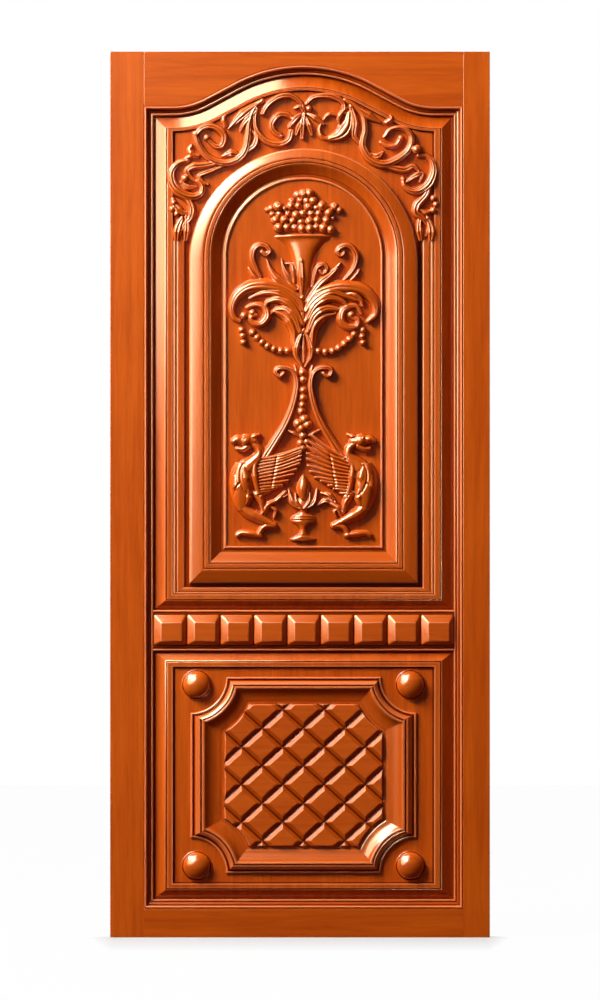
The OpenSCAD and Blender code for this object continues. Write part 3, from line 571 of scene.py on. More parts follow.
@dataclass(frozen=True)
class PlantedBeads:
    """The beads planted round the opening: a quirk, a bead, a long hollow and a fillet."""

    leaf: Leaf
    width: float = 22.0
    seat: float = -17.0

    def profile(self) -> np.ndarray:
        """Distance from the opening's edge and height, rounded."""
        seat, w = self.seat, self.width
        return softened([
            (0, seat), (0, seat), (0, -2.5), (0, -2.5), (1.4, -3.6), (1.6, 0.4), (4.2, 1.2), (6.3, -0.4),
            (6.8, -3.2), (9, -6.4), (12.5, -8.8), (15.4, -9.2), (16.0, -12.0), (17.2, -8.8), (20.6, -8.8),
            (21.4, -9.6), (w, -12.5), (w, seat), (w, seat),
        ])

    def build(self) -> None:
        """Makes the four beads, mitred at the corners."""
        leaf, profile = self.leaf, self.profile()
        ogee = Ogee(leaf)
        for node, edge, inwards in (("left_bead", leaf.open_l, 1), ("right_bead", leaf.open_r, -1)):
            upright = straight((edge, inwards, leaf.open_b, 1), (edge, inwards, leaf.open_t, -1))
            moulding(leaf, node, profile, upright, MOULDING_UP)
        foot = straight((leaf.open_l, 1, leaf.open_b, 1), (leaf.open_r, -1, leaf.open_b, 1))
        moulding(leaf, "bottom_bead", profile, foot, MOULDING_ACROSS)
        moulding(leaf, "top_bead", profile, lambda d: ogee.line(d, d), MOULDING_ACROSS)


@dataclass(frozen=True)
class RaisedPanels:
    """The two panels: a bevel up to a flat border, then a step down to the sunk ground."""

    leaf: Leaf
    bead_w: float = 22.0
    band_lap: float = 12.0
    rail_share: float = 0.8
    lip: float = -33.0
    seat: float = -17.0
    border: float = -2.5
    bevel_end: float = 50.5
    border_end: float = 69.0
    middle: float = 100.0
    head_bevel: float = 51.5
    # painted shade on the bevel's outer part, next to the bead
    shade_to: float = 44.0
    shade_fade: float = 18.0
    shade_level: float = 0.6

    def profile(self) -> np.ndarray:
        """Distance from the opening and height, from the back edge to the sunk ground."""
        ground, top, bevel, step = self.leaf.ground, self.border, self.bevel_end, self.border_end
        return softened([
            (0, self.lip), (0, self.lip), (0, self.seat), (0, self.seat), (24, self.seat), (24, self.seat),
            (27, -15.4), (38, -10.2), (bevel, top - 1.6), (52.2, top - 1.2), (52.6, top - 3.6),
            (54.2, top - 3.4), (54.6, top - 0.2), (56, top), (67.6, top), (68.6, top - 0.4),
            (step, top - 1.6), (step, ground), (step, ground), (72, ground), (80, ground), (86, ground),
        ])

    def rail_inset(self, d: np.ndarray, lap: float) -> np.ndarray:
        """Distance from a rail or the band, which covers the first lap millimetres."""
        return np.where(d <= 0, 0, lap + (d - self.bead_w) * self.rail_share)

    def head_inset(self, d: np.ndarray) -> np.ndarray:
        """Distance from the arched head, where the bevel is wide and the border narrow.

        Args:
            d: distances from the opening's sides.

        Returns:
            The distances from the head that stand for them.
        """
        marks = np.array([self.bead_w, self.border_end, self.middle])
        seat, step, middle = self.rail_inset(marks, self.bead_w)
        knots = (0, self.bead_w, self.bevel_end, self.border_end, self.middle)
        return np.interp(d, knots, (0, seat, self.head_bevel, step, middle))

    def upper(self, d: np.ndarray) -> tuple[np.ndarray, np.ndarray]:
        """The upper panel's outline.

        Args:
            d: distances from the opening's sides.

        Returns:
            x and y, with a row for each station and a column for each distance.
        """
        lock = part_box("upper_panel")[0].z / MM
        x, y = Ogee(self.leaf).line(d, self.head_inset(d))
        foot = lock + self.rail_inset(d, self.band_lap)
        ends = np.stack([self.leaf.open_r - d, self.leaf.open_l + d])
        return np.concatenate([x, ends]), np.concatenate([y, np.stack([foot, foot])])

    def lower(self, d: np.ndarray) -> tuple[np.ndarray, np.ndarray]:
        """The lower panel's outline.

        Args:
            d: distances from the opening's sides.

        Returns:
            x and y, with a row for each station and a column for each distance.
        """
        low, high = (v.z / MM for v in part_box("lower_panel"))
        left, right = self.leaf.open_l + d, self.leaf.open_r - d
        foot = low + self.rail_inset(d, self.bead_w)
        head = high - self.rail_inset(d, self.band_lap)
        return np.stack([left, right, right, left]), np.stack([foot, foot, head, head])

    def build(self) -> None:
        """Makes both panels."""
        profile = self.profile()
        hollow, crest = hollows(profile)
        # painted shade: the bevel darker towards the seat, where the seat's shadow falls, along with its
        # hollows
        root = np.clip((self.shade_to - profile[:, 0]) / self.shade_fade, 0, 1) * self.shade_level
        hollow = np.where(profile[:, 1] < self.seat - 1, 0, np.maximum(hollow, root))
        for node, outline in (("upper_panel", self.upper), ("lower_panel", self.lower)):
            x, y = outline(profile[:, 0])
            loops = self.leaf.place(x, y, profile[None, :, 1]).transpose(1, 0, 2)
            verts, faces = skin(loops)
            marks = {"recess": np.repeat(hollow, len(x)), "ridge": np.repeat(crest, len(x))}
            piece = wood_object(f"{node}_wood", verts, faces, PANEL_UP, marks)
            dressed(piece, PANEL_UP, node)


@dataclass(frozen=True)
class StudBand:
    """The band between the panels: a moulded board and a row of pillowed studs."""

    leaf: Leaf
    count: int = 9
    board_t: float = 9.0
    rise: float = 10.0
    slope: float = 13.5
    lip: float = 2.5
    spread: float = 2.4
    corner_r: float = 4.5
    corner_least: float = 1.5
    corner_taper: float = 0.15
    corner_points: int = 6
    top_shift: tuple[float, float] = (3.4, -4.6)
    top_skew: float = 0.64

    def board(self) -> None:
        """Makes the board, with a bead along its top and a bead and quirk along its foot."""
        (left, _, foot), (right, back, head) = (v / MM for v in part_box("band_board"))
        seat = self.leaf.front / MM - back
        top = seat + self.board_t
        profile = softened([
            (foot, seat), (foot, seat), (foot, top - 4), (foot + 1, top - 0.4), (foot + 4.6, top - 0.4),
            (foot + 5.6, top - 4), (foot + 8, top - 4), (foot + 8.8, top), (foot + 10, top),
            (foot + 10, top), (head - 6.5, top), (head - 6.5, top), (head - 5.6, top - 2.6),
            (head - 4.4, top + 1.0), (head - 1, top + 0.6), (head, top - 1.6), (head, seat), (head, seat),
        ])
        path = straight((left, 0, 0, 1), (right, 0, 0, 1))
        # painted shade on the board's flat between the beads, where the studs stand and shade falls between
        # them
        moulding(self.leaf, "band_board", profile, path, MOULDING_ACROSS, ShadeSpan(foot + 9, head - 6))

    def stud(self, i: int) -> None:
        """Makes a stud: rounded rectangles that shrink from the lip to a flat top a little off the middle.

        A point of a corner of radius r, at angle a, is half - inset - r + r (cos a, sin a) from the middle.

        Args:
            i: the stud's number, from the left.
        """
        x, y = middle_of(f"stud_{i}")
        low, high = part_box(f"stud_{i}")
        half_w, half_h = (high.x - low.x) / 2 / MM + self.spread, (high.z - low.z) / 2 / MM
        base = (self.leaf.front - high.y) / MM
        steps = softened([
            (0, 0), (0, 0), (0, self.lip), (0.8, self.lip + 0.8), (self.slope - 0.8, self.rise - 0.6),
            (self.slope + 0.8, self.rise), (self.slope + 5, self.rise), (self.slope + 6, self.rise),
        ])
        inset, z = steps[:, :1], steps[:, 1:]
        r = np.maximum(self.corner_least, self.corner_r - self.corner_taper * inset)
        quarter = np.linspace(0, math.pi / 2, self.corner_points)
        turn = (np.arange(4)[:, None] * math.pi / 2 + quarter).reshape(1, -1)
        side_x = np.repeat([1, -1, -1, 1], self.corner_points)
        side_y = np.repeat([1, 1, -1, -1], self.corner_points)
        lean = inset / self.slope
        skew = self.top_skew * math.sin(2.1 * i) * side_x
        loop_x = x + self.top_shift[0] * lean + side_x * (half_w - inset - r) + r * np.cos(turn)
        loop_y = y + (self.top_shift[1] + skew) * lean + side_y * (half_h - inset - r) + r * np.sin(turn)
        verts, faces = skin(self.leaf.place(loop_x, loop_y, base + z))
        # painted shade at the stud's foot, where it meets the board, and a paler top edge, partly a painted
        # highlight
        hollow = np.repeat(np.clip(1 - (z[:, 0] - 0.5) / 2.5, 0, 1), loop_x.shape[1])
        crest = np.repeat(np.exp(-(((inset[:, 0] - self.slope) / 1.2) ** 2)), loop_x.shape[1])
        piece = wood_object(f"stud_{i}_wood", verts, faces, STUD_ACROSS, {"recess": hollow, "ridge": crest})
        dressed(piece, STUD_ACROSS, f"stud_{i}")

    def build(self) -> None:
        """Makes the board and every stud."""
        self.board()
        for i in range(1, self.count + 1):
            self.stud(i)


@dataclass(frozen=True)
class ArchMoulding:
    """The moulding round the arched field, its sill, and the slips beside it."""

    leaf: Leaf
    width: float = 89.0
    rise: float = 15.0
    slip_w: float = 24.0
    slip_sill_h: float = 14.0
    slip_rise: float = 4.5
    slip_floor: float = 1.115
    crown_stations: int = 97
    # painted shade on the sill's slopes, as start, end and level over the width
    sill_inner_shade: tuple[float, float, float] = (0.17, 0.42, 0.22)
    sill_outer_shade: tuple[float, float, float] = (0.66, 1.0, 0.4)

    @property
    def inner(self) -> float:
        """Half the width of the arched field."""
        return self.outer - self.width

    @property
    def outer(self) -> float:
        """Half the width over the moulding."""
        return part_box("arch_right")[1].x / MM - self.leaf.axis

    @property
    def spring(self) -> float:
        """Height of the springing line."""
        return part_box("arch_left")[1].z / MM

    @property
    def field_y(self) -> float:
        """Height of the foot of the arched field."""
        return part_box("arch_sill")[1].z / MM

    def profile(self) -> np.ndarray:
        """The arch's section, drawn as percentages of the width and the rise.

        Returns:
            Distance from the field's edge and height of each point.
        """
        shares = [
            (0, 0), (0, 0), (0, 14), (1.2, 24), (5.4, 25), (7.4, 4), (12, 2), (15.4, 3), (17, 12), (24, 34),
            (34, 70), (41, 93), (43.4, 98), (44.4, 98), (45.2, 85), (46.6, 85), (47.2, 100), (49, 102),
            (57, 102), (58.4, 100), (59.4, 84), (60.6, 95), (65, 98), (76, 90.5), (86, 82), (94, 74),
            (97.6, 66), (99.6, 48), (100, 6), (100, 0), (100, 0),
        ]
        ground = self.leaf.ground
        return softened([(d * self.width / 100, ground + z * self.rise / 100) for d, z in shares])

    def round_path(self, d: np.ndarray) -> tuple[np.ndarray, np.ndarray]:
        """The crown: a half circle about the springing point whose outer half narrows towards the top.

        The outer edge is a circle of the outer radius whose centre is lower by what the crown is trimmed,
        so a ray at angle a meets it at -trim sin(a) + sqrt(outer^2 - (trim cos(a))^2).

        Args:
            d: distances from the field's edge.

        Returns:
            x and y, with a row for each angle and a column for each distance.
        """
        trim = self.spring + self.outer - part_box("arch_crown")[1].z / MM
        a = np.linspace(math.pi, 0, self.crown_stations)[:, None]
        reach = -trim * np.sin(a) + np.sqrt(self.outer**2 - (trim * np.cos(a)) ** 2) - self.inner
        half = self.width / 2
        warped = np.where(d < half, d, half + (d - half) * (reach - half) / half)
        r = self.inner + warped
        return self.leaf.axis + r * np.cos(a), self.spring + r * np.sin(a)

    def slip_profile(self, width: float, floor_end: float) -> np.ndarray:
        """A bead, a quirk and a flat over a width, then the floor of the channel beside the arch.

        Args:
            width: the width of the slip alone.
            floor_end: how far the floor runs from the slip's edge.

        Returns:
            Distance from the slip's outer edge and height.
        """
        channel = 100 * floor_end / width
        shares = [
            (0, 0), (0, 0), (0, 80), (5, 102), (20, 102), (25, 78), (33, 70), (38, 88), (47, 96), (64, 94),
            (88, 88), (102, 84), (110, 50), (112, 8), (115, 6), (channel - 2, 6), (channel, 6),
            (channel, 0), (channel, 0),
        ]
        ground = self.leaf.ground
        return softened([(d * width / 100, ground + z * self.slip_rise / 100) for d, z in shares])

    def build(self) -> None:
        """Makes the crown, the legs, the sill and the slips."""
        leaf, axis, profile = self.leaf, self.leaf.axis, self.profile()
        moulding(leaf, "arch_crown", profile, self.round_path, MOULDING_UP)
        ends = [(axis + side * self.inner, side, self.field_y, -1) for side in (-1, 1)]
        for node, foot in zip(("arch_left", "arch_right"), ends):
            moulding(leaf, node, profile, straight(foot, (*foot[:2], self.spring, 0)), MOULDING_UP)
        # painted shade on both slopes of the sill, darker on the outer one, which faces down
        spans = (self.sill_inner_shade, self.sill_outer_shade)
        shade_spans = [ShadeSpan(a * self.width, b * self.width, level) for a, b, level in spans]
        moulding(leaf, "arch_sill", profile, straight(*ends), MOULDING_ACROSS, *shade_spans)
        self.slips()

    def slips(self) -> None:
        """Makes the slips at both sides and under the sill, with painted shade over the channel beside the
        arch.
        """
        (left, _, foot), (_, _, top) = (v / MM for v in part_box("slip_left"))
        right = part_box("slip_right")[1].x / MM
        share = self.slip_sill_h / self.slip_w
        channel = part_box("arch_left")[0].x / MM - left
        profile = self.slip_profile(self.slip_w, channel)
        # painted shade over the floor of the channel beside the arch
        stain_and_shade = ShadeSpan(self.slip_w * self.slip_floor, channel)
        for node, edge, side in (("slip_left", left, 1), ("slip_right", right, -1)):
            path = straight((edge, side, foot, share), (edge, side, top, 0))
            moulding(self.leaf, node, profile, path, MOULDING_UP, stain_and_shade)
        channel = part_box("arch_sill")[0].z / MM - foot
        profile = self.slip_profile(self.slip_sill_h, channel)
        # painted shade over the floor of the channel above the sill
        stain_and_shade = ShadeSpan(self.slip_sill_h * self.slip_floor, channel)
        path = straight((left, 1 / share, foot, 1), (right, -1 / share, foot, 1))
        moulding(self.leaf, "slip_sill", profile, path, MOULDING_ACROSS, stain_and_shade)


class Relief:
    """A carved surface: its height over a grid of the face, cut by strokes and balls.

    Heights are above the ground, and go below it outside the carving, so that the outline is where the
    surface meets the ground.

    Attributes:
        BURY: how far the rim lies below the ground.
        ROOM: how far a grid reaches past its solid.
        FLANK: the power that shapes a stroke's section, round at the crest and steep at the edge.
        TURNED_FLANK: the same for a turned form.
        EDGE: how quickly reeds fade in from a stroke's edge.
        REED_START: how quickly reeds fade in from a stroke's start.
        REED_POWER: the power that keeps reeds broad and the grooves between them narrow.
        CUT_FADE: how quickly a groove fades in from its ends, and the share of its depth there.
        LEAST: the height that a groove leaves.
        BLUR: how far round a point its mean height is taken.
        FULL_HOLLOW: the depth below the mean that takes the full stain colour, as painted shade.
        FULL_CREST: the height above the mean that is fully rubbed, partly as a painted highlight.
    """

    BURY = 1.0
    ROOM = 12.0
    FLANK = 2.6
    TURNED_FLANK = 2.8
    EDGE = 6.0
    REED_START = 12.0
    REED_POWER = 1.5
    CUT_FADE = (8.0, 0.3)
    LEAST = 0.6
    BLUR = 2.5
    FULL_HOLLOW = 2.2
    FULL_CREST = 3.0

    def __init__(self, low: Sequence[float], high: Sequence[float], step: float) -> None:
        """Lays out an empty grid.

        Args:
            low: the lowest x and y.
            high: the highest x and y.
            step: the grid's spacing.
        """
        self.step = step
        self.x = np.arange(low[0], high[0] + step, step)
        self.y = np.arange(low[1], high[1] + step, step)
        self.height = np.full((len(self.y), len(self.x)), -self.BURY)

    @classmethod
    def over(cls, node: str, origin: Sequence[float], step: float) -> Relief:
        """Lays out a grid over a solid, with room for its outline.

        Args:
            node: the solid.
            origin: the point of the face that the grid is drawn about.
            step: the grid's spacing.

        Returns:
            The empty grid.
        """
        low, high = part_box(node)
        start = (low.x / MM - origin[0] - cls.ROOM, low.z / MM - origin[1] - cls.ROOM)
        return cls(start, (high.x / MM - origin[0] + cls.ROOM, high.z / MM - origin[1] + cls.ROOM), step)

    def window(self, low: Sequence[float], high: Sequence[float]) -> tuple[slice, slice]:
        """The rows and columns between two corners.

        Args:
            low: the lowest x and y.
            high: the highest x and y.

        Returns:
            Slices of the grid's rows and columns.
        """
        rows = np.searchsorted(self.y, [low[1], high[1]])
        columns = np.searchsorted(self.x, [low[0], high[0]])
        return slice(*rows), slice(*columns)

    def raise_to(self, where: tuple[slice, slice], height: np.ndarray) -> None:
        """Keeps the greater of the present and a new height, so crossing forms meet in a valley."""
        self.height[where] = np.maximum(self.height[where], height)

    def ball(self, x: float, y: float, r: float, lift: float = 0.3) -> None:
        """Adds a ball: height = lift r + sqrt(r^2 - distance^2), falling steeply outside.

        Args:
            x: its middle across.
            y: its middle up.
            r: its radius.
            lift: how far it is raised, as a share of the radius.
        """
        reach = np.array([r + 2, r + 2])
        where = self.window(np.array([x, y]) - reach, np.array([x, y]) + reach)
        away = np.hypot(self.x[None, where[1]] - x, self.y[where[0], None] - y) / r
        dome = np.sqrt(np.clip(1 - away**2, 0, 1)) * r + lift * r * np.clip((1 - away) * 8, 0, 1)
        self.raise_to(where, np.where(away < 1, dome, (1 - away) * 3 * r))

    def nearest(self, path: np.ndarray, where: tuple[slice, slice]) -> tuple[np.ndarray, np.ndarray]:
        """For every grid point of a window, its signed distance from a path and its share of the way along.

        Each point is dropped on every segment, held within its ends, and the nearest foot is kept.

        Args:
            path: the path's points.
            where: the window.

        Returns:
            Distance, positive to the left of the path, and share of its length.
        """
        gx, gy = np.meshgrid(self.x[where[1]], self.y[where[0]])
        start, run = path[:-1], np.diff(path, axis=0)
        length = np.maximum(np.linalg.norm(run, axis=1), 1e-6)
        way = run / length[:, None]
        dx, dy = gx.ravel()[:, None] - start[:, 0], gy.ravel()[:, None] - start[:, 1]
        along = np.clip(dx * way[:, 0] + dy * way[:, 1], 0, length)
        off = np.hypot(dx - along * way[:, 0], dy - along * way[:, 1])
        best = np.argmin(off, axis=1)
        row = np.arange(len(best))
        side = np.sign(way[best, 0] * dy[row, best] - way[best, 1] * dx[row, best])
        covered = np.concatenate([[0], np.cumsum(length)])
        share = (covered[best] + along[row, best]) / covered[-1]
        return (off[row, best] * side).reshape(gx.shape), share.reshape(gx.shape)

    def stroke(self, s: Stroke) -> None:
        """Adds a bar along a curve.

        Its height is rise (1 - |u|^FLANK), with u the distance over the half width. Reeds cut V-shaped
        grooves along it by |sin|, and lap makes one side higher than the other.

        Args:
            s: the stroke.
        """
        path = curve(s.points)
        margin = max(s.half) * 1.41 + 2
        where = self.window(path.min(0) - margin, path.max(0) + margin)
        off, share = self.nearest(path, where)
        half = np.interp(share, [0, 0.5, 1], s.half)
        rise = np.interp(share, [0, 0.5, 1], s.rise)
        u = off / np.maximum(half, 0.3)
        height = rise * (1 - np.abs(u) ** self.FLANK)
        inside = np.clip((1 - np.abs(u)) * self.EDGE, 0, 1)
        if s.reeds:
            groove = 1 - np.abs(np.sin(math.pi * s.reeds * (np.clip(u, -1, 1) + 1) / 2))
            started = np.clip(share * self.REED_START, 0, 1)
            height = height - s.cut * rise * groove**self.REED_POWER * inside * started
        height = height + s.lap * rise * np.clip(u, -1, 1) * inside
        self.raise_to(where, np.maximum(height, -self.BURY))

    def turned(self, x: float, rows: Points) -> None:
        """Adds a turned form on an upright axis.

        Its height is rise (1 - |u|^TURNED_FLANK), with u the distance over the half width.

        Args:
            x: the axis.
            rows: height on the face, half width and rise, from the foot up.
        """
        shape = softened(rows, 6)
        widest = shape[:, 1].max() + 3
        where = self.window((x - widest, shape[0, 0] - 2), (x + widest, shape[-1, 0] + 2))
        gx, gy = np.meshgrid(self.x[where[1]] - x, self.y[where[0]])
        half, rise = np.interp(gy, shape[:, 0], shape[:, 1]), np.interp(gy, shape[:, 0], shape[:, 2])
        past = np.maximum(shape[0, 0] - gy, gy - shape[-1, 0])
        height = rise * (1 - np.abs(gx / half) ** self.TURNED_FLANK)
        height = np.where(past > 0, np.minimum(height, -past), height)
        self.raise_to(where, np.maximum(height, -self.BURY))

    def cut(self, points: Points, half: float, depth: float) -> None:
        """Cuts a groove along a curve, with a rounded section, where there is carving.

        Args:
            points: the curve's points.
            half: the distance at which the groove's depth has fallen by a factor of e.
            depth: its depth on the curve.
        """
        path = curve(points)
        where = self.window(path.min(0) - half * 3, path.max(0) + half * 3)
        off, share = self.nearest(path, where)
        fade = np.clip(np.minimum(share, 1 - share) * self.CUT_FADE[0] + self.CUT_FADE[1], 0, 1)
        cut = self.height[where] - depth * fade * np.exp(-((off / half) ** 2))
        carved = self.height[where] > self.LEAST
        self.height[where] = np.where(carved, np.maximum(cut, self.LEAST), self.height[where])

    def blurred(self, reach: float) -> np.ndarray:
        """The heights above ground, smoothed by three running means.

        Args:
            reach: how far each mean goes each way, in millimetres.

        Returns:
            The smoothed heights.
        """
        n = max(1, round(reach / self.step))
        smooth = np.maximum(self.height, 0)
        for axis in (0, 1, 0, 1, 0, 1):
            padded = np.pad(smooth, [(n + 1, n) if k == axis else (0, 0) for k in (0, 1)], mode="edge")
            total = np.cumsum(padded, axis=axis)
            upper = np.take(total, range(2 * n + 1, total.shape[axis]), axis=axis)
            lower = np.take(total, range(total.shape[axis] - 2 * n - 1), axis=axis)
            smooth = (upper - lower) / (2 * n + 1)
        return smooth

    def build(
        self,
        leaf: Leaf,
        node: str,
        origin: tuple[float, float],
        finish: Varnish,
        edges: Any = 0.0,
        extra_shade: Any = 0.0,
    ) -> None:
        """Makes the carved surface on the ground, with a flat back, in place of a solid.

        Args:
            leaf: the face.
            node: the solid.
            origin: where the grid's origin lies on the face.
            finish: the varnish.
            edges: how far each grid point is a rubbed edge, partly a painted highlight, besides what its
                height shows.
            extra_shade: how far each grid point takes painted shade, besides what its height shows.
        """
        up = self.height > -self.BURY + 1e-3
        cell = up[:-1, :-1] | up[1:, :-1] | up[:-1, 1:] | up[1:, 1:]
        rows, columns = np.nonzero(cell)
        wide = len(self.x)
        corner = rows * wide + columns
        quads = np.stack([corner, corner + 1, corner + wide + 1, corner + wide], axis=-1)
        used, faces = np.unique(quads, return_inverse=True)
        gx, gy = np.meshgrid(self.x, self.y)
        smooth = self.blurred(self.BLUR)
        top = np.maximum(self.height, 0)
        # painted shade in the carving's hollows and creases, where its height lies below the mean round it
        recess = np.maximum(np.clip((smooth - top) / self.FULL_HOLLOW, 0, 1), extra_shade)
        # rubbed crests painted paler, partly a painted highlight
        ridge = np.maximum(np.clip((top - smooth) / self.FULL_CREST, 0, 1), edges)
        marks = {"recess": recess.ravel()[used], "ridge": ridge.ravel()[used]}
        surface = leaf.place(origin[0] + gx, origin[1] + gy, leaf.ground + self.height)
        verts = surface.reshape(-1, 3)[used]
        piece = wood_object(f"{node}_wood", verts, faces.reshape(-1, 4).tolist(), finish, marks, 180.0)
        close_back(piece.data)
        dressed(piece, finish, node)


def close_back(mesh: bpy.types.Mesh) -> None:
    """Fills the open outline of a carved surface with a flat back and turns the faces outwards.

    Args:
        mesh: the surface's mesh, which is changed.
    """
    bm = bmesh.new()
    bm.from_mesh(mesh)
    rim = [edge for edge in bm.edges if edge.is_boundary]
    bmesh.ops.triangle_fill(bm, use_beauty=False, use_dissolve=False, edges=rim, normal=Vector((0, 1, 0)))
    bmesh.ops.recalc_face_normals(bm, faces=bm.faces)
    bm.to_mesh(mesh)
    bm.free()


def curve(points: Points, steps: int = 10) -> np.ndarray:
    """A Catmull-Rom curve through points.

    Between b and c, with a before and d after, it is (2b + (c - a) t + (2a - 5b + 4c - d) t^2
    + (3b - a - 3c + d) t^3) / 2.

    Args:
        points: the points.
        steps: how many steps lead from each to the next.

    Returns:
        The points of the curve.
    """
    p = np.asarray(points, float)
    padded = np.concatenate([2 * p[:1] - p[1:2], p, 2 * p[-1:] - p[-2:-1]])
    a, b, c, d = (padded[i : len(padded) - 3 + i, None] for i in range(4))
    t = np.linspace(0, 1, steps, endpoint=False)[None, :, None]
    bend = 2 * b + (c - a) * t + (2 * a - 5 * b + 4 * c - d) * t**2 + (3 * b - a - 3 * c + d) * t**3
    return np.concatenate([(bend / 2).reshape(-1, 2), p[-1:]])


@dataclass(frozen=True)
class Stroke:
    """A carved bar along a curve, with its half width and rise at the start, middle and end."""

    points: Points
    half: tuple[float, float, float]
    rise: tuple[float, float, float]
    reeds: int = 0
    cut: float = 0.3
    lap: float = 0.0


# Short, for the lists of strokes below.
S = Stroke


def bolder(strokes: Sequence[Stroke], bold: float, cut: float = 1.0) -> list[Stroke]:
    """The same strokes, with their widths and the depth of their reeds multiplied."""
    return [replace(s, half=tuple(bold * h for h in s.half), cut=cut * s.cut) for s in strokes]


def mirrored(strokes: Sequence[Stroke]) -> list[Stroke]:
    """The same strokes on the other side of the axis."""
    return [replace(s, points=[(-x, y) for x, y in s.points], lap=-s.lap) for s in strokes]


